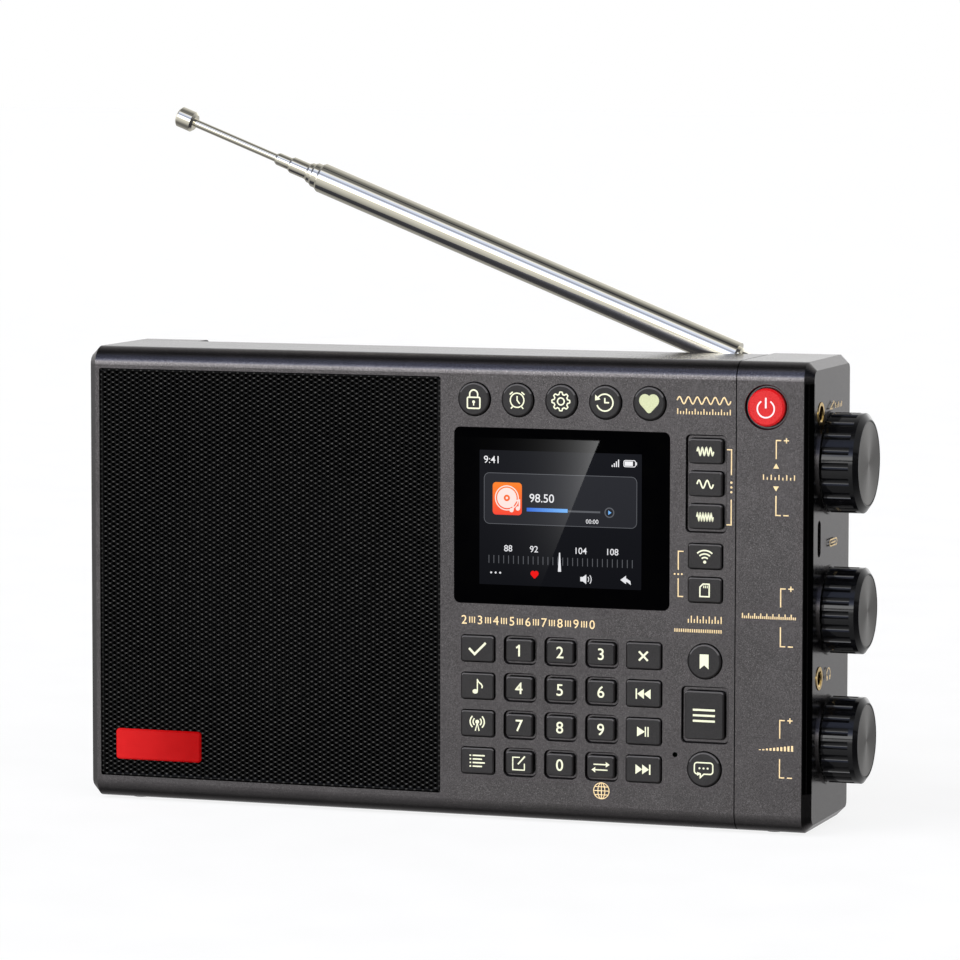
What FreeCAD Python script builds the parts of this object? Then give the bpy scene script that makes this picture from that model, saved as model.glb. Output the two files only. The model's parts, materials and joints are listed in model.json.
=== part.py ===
"""Shortwave receiver: an upright cabinet with a speaker, a display, push buttons, three side knobs and an aerial.

Units are millimetres. +X is to the user's right, +Y towards the back and +Z up. The origin is the centre of the
whole receiver's footprint, on the surface that it stands on. Each sub-part is written to parts/NODE.step.
"""

import FreeCAD
import Part
import math
import os

from FreeCAD import Vector

# ---------------------------------------------------------------- driving dimensions

CASE_W = 210.0            # cabinet alone, without the knobs
CASE_D = 42.0
CASE_H = 127.4
FOOT_H = 0.6              # how far the rubber feet stand out of the base
KNOB_REACH = 10.8         # how far the knobs stand out of the right-hand end
FRONT_R = 5.0             # rounding of the long front edges
BACK_R = 4.0              # rounding of the long back edges
END_BEVEL = 2.3           # bevel all round both ends
WALL = 2.2
FRONT_WALL = 2.6
SEAM = 0.3                # open line between two shells
RUN = 0.05                # radial clearance of a running fit

LEFT = -(CASE_W + KNOB_REACH) / 2
RIGHT = LEFT + CASE_W
FRONT = -CASE_D / 2
BACK = CASE_D / 2
BASE = FOOT_H
TOP = BASE + CASE_H
INNER_FRONT = FRONT + FRONT_WALL
INNER_BACK = BACK - WALL
INNER_RIGHT = RIGHT - WALL

# the front panel is laid out from the lower left corner of the speaker grille
GRILLE_X = LEFT + 3.5
GRILLE_Z = BASE + 6.4
GRILLE_W = 101.4
GRILLE_H = 115.0
GRILLE_R = 0.7
GRILLE_SET_BACK = 0.4
GRILLE_T = 0.7

# shells
END_SEAM_X = GRILLE_X + 185.5      # between the front housing and the right-hand end section
BACK_SEAM_Y = BACK - 10.0          # between the front housing and the rear cover

# aerial trough, a step along the top rear edge
TROUGH_X0 = GRILLE_X + 17.0
TROUGH_X1 = END_SEAM_X
TROUGH_FLOOR = TOP - 9.6
TROUGH_WALL = 2.0

# aerial: distances along it are counted from its tilt pivot
AERIAL_TILT = 21.52                # degrees above level, as it stands
PIVOT = Vector(GRILLE_X + 181.9, BACK - 5.25, TOP - 4.06)
TUBE_START = 7.4
NECK_START = 6.0                   # the tube's plug is necked down behind the tube
NECK_R = 3.1
TUBE_OD = (8.5, 7.1, 5.9, 4.7, 3.6)
TUBE_WALL = 0.45
TUBE_END = (139.1, 141.3, 142.9, 148.7, 153.3)
TUBE_REAR = (TUBE_START, 9.4, 9.8, 14.4, 17.8)
ROD_D = 2.3
ROD_REAR = 44.6
CAP_D = 5.9
CAP_SPAN = (180.0, 185.3)
SPINDLE_R = 2.05
STAKE_R = 2.9
BOSS_R = 3.4
BASE_R = 3.2
EAR_R = 2.9
TONGUE_T = 2.4
TONGUE_R = 2.4
FORK_GAP = 2.8
PIN_R = 1.0

# display
WINDOW_W = 61.3
WINDOW_H = 48.1
WINDOW_R = 1.6
WINDOW_T = 1.2
WINDOW_X = GRILLE_X + 136.2
WINDOW_Z = GRILLE_Z + 77.2
SCREEN_W = 46.3
SCREEN_H = 36.9
SCREEN_X = WINDOW_X - 0.3
SCREEN_Z = WINDOW_Z - 0.4
MODULE_D = 3.2

# push buttons: every cap stands PROUD of the panel and travels TRAVEL
PROUD = 0.9
TRAVEL = 0.7
KEY_GAP = 0.2                      # between a cap and its opening, all round
KEY_BEVEL = 0.3
FRAME_DEPTH = 1.1                  # recess round a framed key
FRAME_FLARE = 0.12                 # the broken edge round recesses and openings
FLANGE = (0.7, 0.4)                # how far the retaining flange reaches past the cap, in x and z
FLANGE_T = 0.8
FLANGE_Y = INNER_FRONT + 0.1       # the flange stops this side of the panel's back
STEM_R = 1.5
STEM_L = 1.2

ROUND_ROW_Z = GRILLE_Z + 109.1
ROUND_ROW_X = GRILLE_X + 111.3
ROUND_ROW_PITCH = 12.5
ROUND_ROW_R = 4.45
ROUND_ROW_NAMES = ("button_lock", "button_alarm", "button_settings", "button_history", "button_favourite")

PAD_X = GRILLE_X + 136.24          # middle column of the keypad
PAD_Z = GRILLE_Z + 25.03           # middle of the keypad's four rows
DIGIT_PITCH = 11.72
OUTER_PITCH = 12.05
ROW_PITCH = 10.33
DIGIT_KEY = (7.5, 6.0)
DIGIT_FRAME = (9.3, 7.8)
LEFT_KEY = (9.4, 7.0)
RIGHT_KEY = (9.75, 7.05)
PAD_NAMES = (
    ("key_confirm", "key_1", "key_2", "key_3", "key_clear"),
    ("key_music", "key_4", "key_5", "key_6", "key_previous"),
    ("key_broadcast", "key_7", "key_8", "key_9", "key_play_pause"),
    ("key_list", "key_edit", "key_0", "key_mode", "key_next"),
)

SIDE_X = GRILLE_X + 177.15         # the column right of the display
SIDE_KEY = (9.35, 6.6)
BAND_PITCH = 8.84
BAND_MID_Z = GRILLE_Z + 87.8
BAND_FRAME = (11.25, 26.3)
SOURCE_NAMES = (("key_wireless", 68.2), ("key_card", 59.1))
ROUND_KEY_R = 4.65
ROUND_KEYS = (("key_bookmark", 39.7), ("key_language", 10.3))
MENU_KEY = (10.9, 13.05)
MENU_FRAME = (13.05, 15.3)
MENU_Z = GRILLE_Z + 25.05

POWER_X = GRILLE_X + 193.9
POWER_Z = GRILLE_Z + 108.9
POWER_R = 5.1
POWER_RING = 6.0
POWER_ARM = 7.5                    # from the power button's middle to its switch, to the left

MICROPHONE = (GRILLE_X + 168.8, GRILLE_Z + 13.9)
MICROPHONE_R = 0.7

# right-hand end
KNOB_Y = FRONT + 19.5
KNOBS = (("tuning_knob", GRILLE_Z + 92.95, 13.6), ("fine_tuning_knob", GRILLE_Z + 52.8, 11.75),
         ("volume_knob", GRILLE_Z + 17.4, 11.8))
KNOB_RING = 0.5                    # ring round each knob: its height, and how far it reaches past the knob
KNOB_CLEAR = 0.45
KNOB_FLUTES = 20
FLUTE_R = 1.3
FLUTE_OUT = 0.7                    # the flute cutter's axis lies this far outside the knob
KNOB_RIM = 2.4                     # smooth length at the knob's outer end
KNOB_FACE = 0.87                   # face radius over knob radius
FACE_RECESS = 0.3
SHAFT_R = 3.0
ENCODER = (6.5, 12.4, 12.4)
BUSH_R = 3.5
JACK_Y = FRONT + 9.05
JACKS_Z = (GRILLE_Z + 106.8, GRILLE_Z + 35.2)
JACK_BORE_R = 1.8
JACK_BORE_L = 14.0
JACK_RIM_R = 3.15
JACK_PROUD = 0.2
JACK_BODY = (12.0, 6.6, 6.8)
USB_Y = FRONT + 8.2
USB_Z = GRILLE_Z + 73.1
USB_SLOT = (9.9, 3.3)
USB_SHELL = (8.94, 3.16, 7.3)
USB_SHELL_T = 0.3

# inside
BOARD_Y = INNER_FRONT + 5.0
BOARD_T = 1.6
BOARD_X = (GRILLE_X + 104.0, GRILLE_X + 188.9)
BOARD_Z = (GRILLE_Z - 1.0, GRILLE_Z + 113.0)
SWITCH_BASE = (5.0, 1.2)
SPEAKER_X = GRILLE_X + GRILLE_W / 2
SPEAKER_Z = GRILLE_Z + GRILLE_H / 2
SPEAKER_R = 40.0
CELL_D = 18.6
CELL_L = 66.0
FERRITE_R = 5.0
FERRITE_L = 96.0
COIL_R = 6.0
COIL_L = 28.0

# fastening
POST_R = 3.0
PILOT_R = 1.25
SCREW_R = 1.2
SCREW_L = 18.0
SCREW_CLEAR_R = 1.4
HEAD_R = 2.4
HEAD_T = 1.8
HEAD_SUNK = 2.2
POST_LOW_Z = BASE + 8.4
POST_HIGH_Z = TOP - 16.0
POSTS = ((LEFT + 7.4, POST_LOW_Z), (SPEAKER_X + 47.2, POST_LOW_Z), (END_SEAM_X - 12.6, POST_LOW_Z),
         (LEFT + 7.4, POST_HIGH_Z), (END_SEAM_X - 12.6, POST_HIGH_Z))
POST_MEET_Y = 8.0
LUG_X = END_SEAM_X + 5.4
LUGS_Z = (BASE + 6.9, TOP - 6.3)
LUG_HALF = 2.9
FOOT_R = 2.7
FOOT_SUNK = 1.0
FOOT_PLACES = ((LEFT + 12.0, -11.0), (LEFT + 12.0, 14.1), (RIGHT - 12.0, -11.0), (RIGHT - 12.0, 14.1))

BADGE = (GRILLE_X + 17.6, GRILLE_Z + 9.15, 25.6, 8.7)
BADGE_T = 1.0

X_AXIS = Vector(1, 0, 0)
Y_AXIS = Vector(0, 1, 0)
Z_AXIS = Vector(0, 0, 1)


# ---------------------------------------------------------------- small helpers

def block(x0, x1, y0, y1, z0, z1):
    """A box between two corners."""
    return Part.makeBox(x1 - x0, y1 - y0, z1 - z0, Vector(x0, y0, z0))


def rod_x(radius, x0, x1, y, z):
    return Part.makeCylinder(radius, x1 - x0, Vector(x0, y, z), X_AXIS)


def rod_y(radius, x, y0, y1, z):
    return Part.makeCylinder(radius, y1 - y0, Vector(x, y0, z), Y_AXIS)


def rod_z(radius, x, y, z0, z1):
    return Part.makeCylinder(radius, z1 - z0, Vector(x, y, z0), Z_AXIS)


def cone_y(r0, r1, x, y0, y1, z):
    return Part.makeCone(r0, r1, y1 - y0, Vector(x, y0, z), Y_AXIS)


def rounded_wire(x, z, width, height, radius, y):
    """A rounded rectangle round (x, z), in the plane at depth y."""
    half_w, half_h = width / 2, height / 2
    corners = ((half_w, half_h, 0), (-half_w, half_h, 90), (-half_w, -half_h, 180), (half_w, -half_h, 270))
    arcs = []
    for dx, dz, start in corners:
        centre_x = x + dx - math.copysign(radius, dx)
        centre_z = z + dz - math.copysign(radius, dz)
        points = []
        for turn in (start, start + 45, start + 90):
            angle = math.radians(turn)
            points.append(Vector(centre_x + radius * math.cos(angle), y, centre_z + radius * math.sin(angle)))
        arcs.append(Part.Arc(*points).toShape())
    edges = []
    for here, following in zip(arcs, arcs[1:] + arcs[:1]):
        edges.append(here)
        edges.append(Part.makeLine(here.Vertexes[-1].Point, following.Vertexes[0].Point))
    return Part.Wire(edges)


def tile(x, z, width, height, radius, y0, y1):
    """A rounded rectangular tile from depth y0 to depth y1."""
    return Part.Face(rounded_wire(x, z, width, height, radius, y0)).extrude(Vector(0, y1 - y0, 0))


def tapered_tile(x, z, width, height, radius, y0, y1, grow):
    """A tile that is wider by grow on every side at y1 than at y0."""
    near = rounded_wire(x, z, width, height, radius, y0)
    far = rounded_wire(x, z, width + 2 * grow, height + 2 * grow, radius + grow, y1)
    return Part.makeLoft([near, far], True, True)


def fuse(shapes):
    """One solid from shapes that overlap or touch."""
    whole = shapes[0].multiFuse(shapes[1:]) if len(shapes) > 1 else shapes[0]
    return whole.removeSplitter()


def export(name, shape):
    """Write one sub-part, as a solid or as a group of separate solids."""
    solids = shape.Solids
    if not solids or not all(solid.isValid() for solid in solids):
        raise ValueError(name + " is not a valid solid")
    kept = solids[0] if len(solids) == 1 else Part.makeCompound(solids)
    kept.exportStep(os.path.join("parts", name + ".step"))
    print(name, len(solids), round(sum(solid.Volume for solid in solids), 1))


# ---------------------------------------------------------------- shells

def side_profile(y0, y1, z0, z1, front_r, back_r, x, length):
    """A prism along X whose section has rounded front and back edges."""
    corners = ((y1, z1, back_r, 0), (y0, z1, front_r, 90), (y0, z0, front_r, 180), (y1, z0, back_r, 270))
    arcs = []
    for y, z, radius, start in corners:
        centre_y = y - radius if y == y1 else y + radius
        centre_z = z - radius if z == z1 else z + radius
        points = []
        for turn in (start, start + 45, start + 90):
            angle = math.radians(turn)
            points.append(Vector(x, centre_y + radius * math.cos(angle), centre_z + radius * math.sin(angle)))
        arcs.append(Part.Arc(*points).toShape())
    edges = []
    for here, following in zip(arcs, arcs[1:] + arcs[:1]):
        edges.append(here)
        edges.append(Part.makeLine(here.Vertexes[-1].Point, following.Vertexes[0].Point))
    return Part.Face(Part.Wire(edges)).extrude(Vector(length, 0, 0))


def cabinet():
    """The whole shell, hollow, with the aerial trough cut in it and both ends bevelled."""
    outer = side_profile(FRONT, BACK, BASE, TOP, FRONT_R, BACK_R, LEFT, CASE_W)
    end_edges = []
    for edge in outer.Edges:
        if edge.BoundBox.XLength < 0.001:
            end_edges.append(edge)
    outer = outer.makeChamfer(END_BEVEL, end_edges)
    cavity = side_profile(INNER_FRONT, INNER_BACK, BASE + WALL, TOP - WALL, FRONT_R - WALL, BACK_R - WALL,
                          LEFT + WALL, CASE_W - 2 * WALL)
    trough = block(TROUGH_X0, TROUGH_X1, BACK_SEAM_Y, BACK + 1, TROUGH_FLOOR, TOP + 1)
    trough_walls = block(TROUGH_X0 - TROUGH_WALL, TROUGH_X1 + TROUGH_WALL, BACK_SEAM_Y - TROUGH_WALL, BACK + 1,
                         TROUGH_FLOOR - TROUGH_WALL, TOP + 1)
    return outer.cut(cavity.cut(trough_walls)).cut(trough)


# ---------------------------------------------------------------- push buttons

def rectangular_keys():
    """Each rectangular key as (name, x, z, width, height, corner radius)."""
    keys = []
    columns = (PAD_X - DIGIT_PITCH - OUTER_PITCH, PAD_X - DIGIT_PITCH, PAD_X, PAD_X + DIGIT_PITCH,
               PAD_X + DIGIT_PITCH + OUTER_PITCH)
    sizes = (LEFT_KEY, DIGIT_KEY, DIGIT_KEY, DIGIT_KEY, RIGHT_KEY)
    for row, names in enumerate(PAD_NAMES):
        z = PAD_Z + (1.5 - row) * ROW_PITCH
        for name, x, size in zip(names, columns, sizes):
            keys.append((name, x, z, size[0], size[1], 0.5))
    for number in range(3):
        z = BAND_MID_Z + (1 - number) * BAND_PITCH
        keys.append(("key_band_" + str(number + 1), SIDE_X, z, SIDE_KEY[0], SIDE_KEY[1], 0.5))
    for name, up in SOURCE_NAMES:
        keys.append((name, SIDE_X, GRILLE_Z + up, SIDE_KEY[0], SIDE_KEY[1], 0.5))
    keys.append(("key_menu", SIDE_X, MENU_Z, MENU_KEY[0], MENU_KEY[1], 0.6))
    return keys


def round_keys():
    """Each round button as (name, x, z, radius)."""
    keys = []
    for number, name in enumerate(ROUND_ROW_NAMES):
        keys.append((name, ROUND_ROW_X + number * ROUND_ROW_PITCH, ROUND_ROW_Z, ROUND_ROW_R))
    for name, up in ROUND_KEYS:
        keys.append((name, SIDE_X, GRILLE_Z + up, ROUND_KEY_R))
    return keys


def frames():
    """Each recess round one or more keys as (x, z, width, height, corner radius)."""
    recesses = []
    for name, x, z, width, height, radius in rectangular_keys():
        if (width, height) == DIGIT_KEY:
            recesses.append((x, z, DIGIT_FRAME[0], DIGIT_FRAME[1], 1.6))
    recesses.append((SIDE_X, BAND_MID_Z, BAND_FRAME[0], BAND_FRAME[1], 1.2))
    recesses.append((SIDE_X, MENU_Z, MENU_FRAME[0], MENU_FRAME[1], 1.2))
    return recesses


def stem(x, z):
    """The nub behind a key that presses its switch."""
    back = FLANGE_Y + FLANGE_T
    return rod_y(STEM_R, x, back - 0.1, back + STEM_L, z)


def rectangular_cap(x, z, width, height, radius):
    """A key: bevelled cap, flange behind the panel, and stem."""
    face = FRONT - PROUD
    edge = face + KEY_BEVEL
    bevel = tapered_tile(x, z, width - 2 * KEY_BEVEL, height - 2 * KEY_BEVEL, radius, face, edge, KEY_BEVEL)
    shank = tile(x, z, width, height, radius + KEY_BEVEL, edge, FLANGE_Y + 0.1)
    flange = tile(x, z, width + 2 * FLANGE[0], height + 2 * FLANGE[1], 0.5, FLANGE_Y, FLANGE_Y + FLANGE_T)
    return fuse([bevel, shank, flange, stem(x, z)])


def round_cap(x, z, radius, proud, bevel):
    """A round button with its flange and stem."""
    face = FRONT - proud
    top = cone_y(radius - bevel, radius, x, face, face + bevel, z)
    shank = rod_y(radius, x, face + bevel, FLANGE_Y + 0.1, z)
    flange = rod_y(radius + FLANGE[0], x, FLANGE_Y, FLANGE_Y + FLANGE_T, z)
    return fuse([top, shank, flange, stem(x, z)])


def power_cap():
    """The power button, whose arm reaches left to a switch on the main board."""
    button = round_cap(POWER_X, POWER_Z, POWER_R, PROUD, 0.5)
    arm = block(POWER_X - POWER_ARM - STEM_R, POWER_X, FLANGE_Y, FLANGE_Y + FLANGE_T,
                POWER_Z - STEM_R, POWER_Z + STEM_R)
    nub = stem(POWER_X - POWER_ARM, POWER_Z)
    return fuse([button, arm, nub])


def button_openings():
    """Every cut that the buttons need in the panel."""
    through = INNER_FRONT + 1
    tools = []
    for name, x, z, width, height, radius in rectangular_keys():
        wide, high = width + 2 * KEY_GAP, height + 2 * KEY_GAP
        tools.append(tile(x, z, wide, high, radius + KEY_BEVEL + KEY_GAP, FRONT - 1, through))
        if (width, height) in (LEFT_KEY, RIGHT_KEY, SIDE_KEY):
            tools.append(tapered_tile(x, z, wide, high, 0.9, FRONT + FRAME_FLARE, FRONT - FRAME_FLARE,
                                      2 * FRAME_FLARE))
    for x, z, width, height, radius in frames():
        tools.append(tile(x, z, width, height, radius, FRONT - 1, FRONT + FRAME_DEPTH))
        tools.append(tapered_tile(x, z, width, height, radius, FRONT + FRAME_FLARE, FRONT - FRAME_FLARE,
                                  2 * FRAME_FLARE))
    for name, x, z, radius in round_keys():
        opening = radius + KEY_GAP
        tools.append(rod_y(opening, x, FRONT - 1, through, z))
        tools.append(cone_y(opening + 2 * FRAME_FLARE, opening, x, FRONT - FRAME_FLARE, FRONT + FRAME_FLARE, z))
    return tools


# ---------------------------------------------------------------- cabinet pieces

def post_holes():
    """Pilot holes for the housing screws, in the posts that stand on the front housing."""
    tools = []
    for x, z in POSTS + tuple((LUG_X, z) for z in LUGS_Z):
        tools.append(rod_y(PILOT_R, x, POST_MEET_Y - 8, POST_MEET_Y + 1, z))
    return tools


def front_housing(shell):
    """The painted front shell, with the panel's openings, screw posts and the lugs for the end section."""
    body = shell.common(block(LEFT - 1, END_SEAM_X - SEAM / 2, FRONT - 1, BACK_SEAM_Y - SEAM / 2, 0, TOP + 1))
    additions = [body]
    for x, z in POSTS:
        additions.append(rod_y(POST_R, x, INNER_FRONT - 0.2, POST_MEET_Y, z))
    for z in LUGS_Z:
        low, high = z - LUG_HALF, z + LUG_HALF
        additions.append(block(END_SEAM_X - 6, END_SEAM_X - 0.5, INNER_FRONT - 0.2, POST_MEET_Y, low, high))
        additions.append(block(END_SEAM_X - 1, LUG_X + LUG_HALF, POST_MEET_Y - 6, POST_MEET_Y, low, high))
    body = fuse(additions)
    grille_pocket = tile(GRILLE_X + GRILLE_W / 2, SPEAKER_Z, GRILLE_W, GRILLE_H, GRILLE_R, FRONT - 1,
                         FRONT + GRILLE_SET_BACK + GRILLE_T + 0.4)
    speaker_hole = rod_y(SPEAKER_R - 4, SPEAKER_X, FRONT - 1, INNER_FRONT + 1, SPEAKER_Z)
    window_pocket = tile(WINDOW_X, WINDOW_Z, WINDOW_W + 2 * KEY_GAP, WINDOW_H + 2 * KEY_GAP,
                         WINDOW_R + KEY_GAP, FRONT - 1, FRONT + WINDOW_T + 0.05)
    screen_hole = tile(SCREEN_X, SCREEN_Z, SCREEN_W + 1.2, SCREEN_H + 1.2, 0.5, FRONT - 1, INNER_FRONT + 1)
    microphone = rod_y(MICROPHONE_R, MICROPHONE[0], FRONT - 1, INNER_FRONT + 1, MICROPHONE[1])
    tools = button_openings() + post_holes() + foot_sockets()
    return body.cut([grille_pocket, speaker_hole, window_pocket, screen_hole, microphone] + tools)


def rear_screw_holes(places):
    """Clearance holes and sunk head seats for screws put in from the back."""
    tools = []
    for x, z in places:
        tools.append(rod_y(SCREW_CLEAR_R, x, 0, BACK + 1, z))
        tools.append(rod_y(HEAD_R + 0.2, x, BACK - HEAD_SUNK, BACK + 1, z))
    return tools


def rear_cover(shell):
    """The rear shell, with the trough's floor, the aerial's swivel boss, screw tubes and locating lips."""
    y0 = BACK_SEAM_Y + SEAM / 2
    body = shell.common(block(LEFT - 1, END_SEAM_X - SEAM / 2, y0, BACK + 1, 0, TOP + 1))
    low = BASE + WALL
    inner_left = LEFT + WALL
    lip = 1.0
    additions = [
        body,
        block(LEFT + 5, END_SEAM_X - 8, y0, y0 + 2.5, low - 0.3, low + 0.15 + lip),
        block(LEFT + 5, END_SEAM_X - 8, BACK_SEAM_Y - 2.5, y0 + 0.5, low + 0.15, low + 0.15 + lip),
        block(inner_left - 0.3, inner_left + 0.15 + lip, y0, y0 + 2.5, BASE + 6, TROUGH_FLOOR - 6),
        block(inner_left + 0.15, inner_left + 0.15 + lip, BACK_SEAM_Y - 2.5, y0 + 0.5, BASE + 6,
              TROUGH_FLOOR - 6),
        rod_z(BOSS_R, PIVOT.x, PIVOT.y, TROUGH_FLOOR - 8, TROUGH_FLOOR - 0.5),
    ]
    for x, z in POSTS:
        additions.append(rod_y(POST_R, x, POST_MEET_Y + 0.2, INNER_BACK + 0.2, z))
    body = fuse(additions)
    spindle_hole = rod_z(SPINDLE_R + RUN, PIVOT.x, PIVOT.y, TROUGH_FLOOR - 9, TROUGH_FLOOR + 1)
    return body.cut([spindle_hole] + rear_screw_holes(POSTS) + foot_sockets())


def end_section(shell):
    """The right-hand end, full depth, that carries the power button, knobs and sockets."""
    x0 = END_SEAM_X + SEAM / 2
    body = shell.common(block(x0, RIGHT + 1, FRONT - 1, BACK + 1, 0, TOP + 1))
    low, high = BASE + WALL, TOP - WALL
    lip = 1.0
    additions = [
        body,
        block(x0, x0 + 2.5, -15, 5, low - 0.3, low + 0.15 + lip),
        block(x0 - 3.3, x0 + 0.5, -15, 5, low + 0.15, low + 0.15 + lip),
        block(x0, x0 + 2.5, -15, 5, high - 0.15 - lip, high + 0.3),
        block(x0 - 3.3, x0 + 0.5, -15, 5, high - 0.15 - lip, high - 0.15),
    ]
    for z in LUGS_Z:
        additions.append(rod_y(LUG_HALF, LUG_X, POST_MEET_Y + 0.2, INNER_BACK + 0.2, z))
    for name, z, radius in KNOBS:
        additions.append(rod_x(radius + KNOB_RING, RIGHT - 0.5, RIGHT + KNOB_RING, KNOB_Y, z))
    body = fuse(additions)
    tools = rear_screw_holes([(LUG_X, z) for z in LUGS_Z]) + foot_sockets()
    for name, z, radius in KNOBS:
        tools.append(rod_x(BUSH_R + 0.1, INNER_RIGHT - 1, RIGHT + 2, KNOB_Y, z))
    for z in JACKS_Z:
        tools.append(rod_x(JACK_RIM_R + 0.1, INNER_RIGHT - 1, RIGHT + 1, JACK_Y, z))
    slot = tile(0, 0, USB_SLOT[1], USB_SLOT[0], USB_SLOT[1] / 2 - 0.01, -4, 4)
    slot.rotate(Vector(0, 0, 0), Z_AXIS, 90)
    slot.translate(Vector(RIGHT, USB_Y, USB_Z))
    tools.append(slot)
    through = INNER_FRONT + 1
    tools.append(rod_y(POWER_R + KEY_GAP, POWER_X, FRONT - 1, through, POWER_Z))
    tools.append(rod_y(POWER_RING, POWER_X, FRONT - 1, FRONT + FRAME_DEPTH, POWER_Z))
    tools.append(cone_y(POWER_RING + 2 * FRAME_FLARE, POWER_RING, POWER_X, FRONT - FRAME_FLARE,
                        FRONT + FRAME_FLARE, POWER_Z))
    return body.cut(tools)


def foot_sockets():
    """Shallow round seats in the base for the rubber feet."""
    tools = []
    for x, y in FOOT_PLACES:
        tools.append(rod_z(FOOT_R + 0.1, x, y, BASE - 1, BASE + FOOT_SUNK))
    return tools


def rubber_feet():
    feet = []
    for x, y in FOOT_PLACES:
        feet.append(rod_z(FOOT_R, x, y, 0, BASE + FOOT_SUNK))
    return Part.makeCompound(feet)


def housing_screws():
    """Screws from the back: five for the rear cover and two for the end section."""
    screws = []
    head_back = BACK - HEAD_SUNK + HEAD_T
    for x, z in POSTS + tuple((LUG_X, z) for z in LUGS_Z):
        head = rod_y(HEAD_R, x, head_back - HEAD_T, head_back, z)
        shank = rod_y(SCREW_R, x, head_back - HEAD_T - SCREW_L, head_back - HEAD_T + 0.1, z)
        drive = block(x - 1.3, x + 1.3, head_back - 0.8, head_back + 1, z - 0.3, z + 0.3)
        cross = block(x - 0.3, x + 0.3, head_back - 0.8, head_back + 1, z - 1.3, z + 1.3)
        screws.append(fuse([head, shank]).cut([drive, cross]))
    return Part.makeCompound(screws)


# ---------------------------------------------------------------- front panel pieces

def speaker_grille():
    """The perforated sheet's outline; its holes are too fine to matter here."""
    y0 = FRONT + GRILLE_SET_BACK
    return tile(GRILLE_X + GRILLE_W / 2, SPEAKER_Z, GRILLE_W - 0.2, GRILLE_H - 0.2, GRILLE_R, y0, y0 + GRILLE_T)


def badge():
    """A blank nameplate, bevelled all round, glued on the grille."""
    x, z, width, height = BADGE
    back = FRONT + GRILLE_SET_BACK
    middle = back - BADGE_T + 0.4
    lower = tile(x, z, width, height, 1.0, middle, back)
    bevel = tapered_tile(x, z, width - 0.8, height - 0.8, 0.6, back - BADGE_T, middle, 0.4)
    return fuse([lower, bevel])


def display_window():
    return tile(WINDOW_X, WINDOW_Z, WINDOW_W, WINDOW_H, WINDOW_R, FRONT, FRONT + WINDOW_T)


def display_module():
    """The display in its metal tray, with its glass face standing in the housing's opening."""
    tray = block(SCREEN_X - SCREEN_W / 2 - 2.5, SCREEN_X + SCREEN_W / 2 + 2.5, INNER_FRONT + 0.1,
                 INNER_FRONT + 0.1 + MODULE_D, SCREEN_Z - SCREEN_H / 2 - 4, SCREEN_Z + SCREEN_H / 2 + 2.5)
    glass = block(SCREEN_X - SCREEN_W / 2, SCREEN_X + SCREEN_W / 2, INNER_FRONT - 0.9, INNER_FRONT + 0.2,
                  SCREEN_Z - SCREEN_H / 2, SCREEN_Z + SCREEN_H / 2)
    return fuse([tray, glass])


# ---------------------------------------------------------------- inner pieces

def main_board():
    """The circuit board behind the panel: a switch behind each button, tuner can and processor on its back."""
    places = [(x, z) for name, x, z, width, height, radius in rectangular_keys()]
    places += [(x, z) for name, x, z, radius in round_keys()]
    places.append((POWER_X - POWER_ARM, POWER_Z))
    pieces = [block(BOARD_X[0], BOARD_X[1], BOARD_Y, BOARD_Y + BOARD_T, BOARD_Z[0], BOARD_Z[1])]
    half = SWITCH_BASE[0] / 2
    plunger_tip = FLANGE_Y + FLANGE_T + STEM_L + TRAVEL + 0.2
    for x, z in places:
        pieces.append(block(x - half, x + half, BOARD_Y - SWITCH_BASE[1], BOARD_Y + 0.1, z - half, z + half))
        pieces.append(rod_y(STEM_R, x, plunger_tip, BOARD_Y, z))
    behind = BOARD_Y + BOARD_T - 0.1
    pieces.append(block(PAD_X - 22, PAD_X + 8, behind, behind + 3.1, WINDOW_Z - 10, WINDOW_Z + 14))
    pieces.append(block(PAD_X + 14, PAD_X + 28, behind, behind + 1.3, WINDOW_Z - 6, WINDOW_Z + 8))
    board = fuse(pieces)
    holes = []
    for x, z in POSTS[2:3] + POSTS[4:]:
        holes.append(rod_y(POST_R + 1, x, BOARD_Y - 3, BOARD_Y + BOARD_T + 1, z))
    for z in LUGS_Z:
        holes.append(block(END_SEAM_X - 7, BOARD_X[1] + 1, BOARD_Y - 3, BOARD_Y + BOARD_T + 1,
                           z - LUG_HALF - 1, z + LUG_HALF + 1))
    return board.cut(holes)


def speaker():
    """The loudspeaker: rim, basket, magnet and hollow cone, turned about its own axis."""
    rim = INNER_FRONT + 0.1
    outline = (
        (0.0, rim + 8.0), (12.0, rim + 9.5), (33.0, rim + 1.5), (34.5, rim), (SPEAKER_R, rim),
        (SPEAKER_R, rim + 1.6), (36.5, rim + 2.4), (23.0, rim + 14.0), (23.0, rim + 24.0), (0.0, rim + 24.0),
    )
    points = [Vector(radius, y, 0) for radius, y in outline]
    profile = Part.Face(Part.makePolygon(points + points[:1]))
    turned = profile.revolve(Vector(0, 0, 0), Y_AXIS, 360)
    turned.translate(Vector(SPEAKER_X, 0, SPEAKER_Z))
    return turned


def battery_pack():
    """Two cells side by side in their wrap."""
    x0 = BOARD_X[0] + 2
    z = GRILLE_Z + 28
    y = BOARD_Y + BOARD_T + 1.5 + CELL_D / 2
    lower = rod_x(CELL_D / 2, x0, x0 + CELL_L, y, z - CELL_D / 2)
    upper = rod_x(CELL_D / 2, x0, x0 + CELL_L, y, z + CELL_D / 2)
    between = block(x0, x0 + CELL_L, y - CELL_D / 2, y + CELL_D / 2, z - CELL_D / 2, z + CELL_D / 2)
    return fuse([lower, upper, between])


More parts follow.
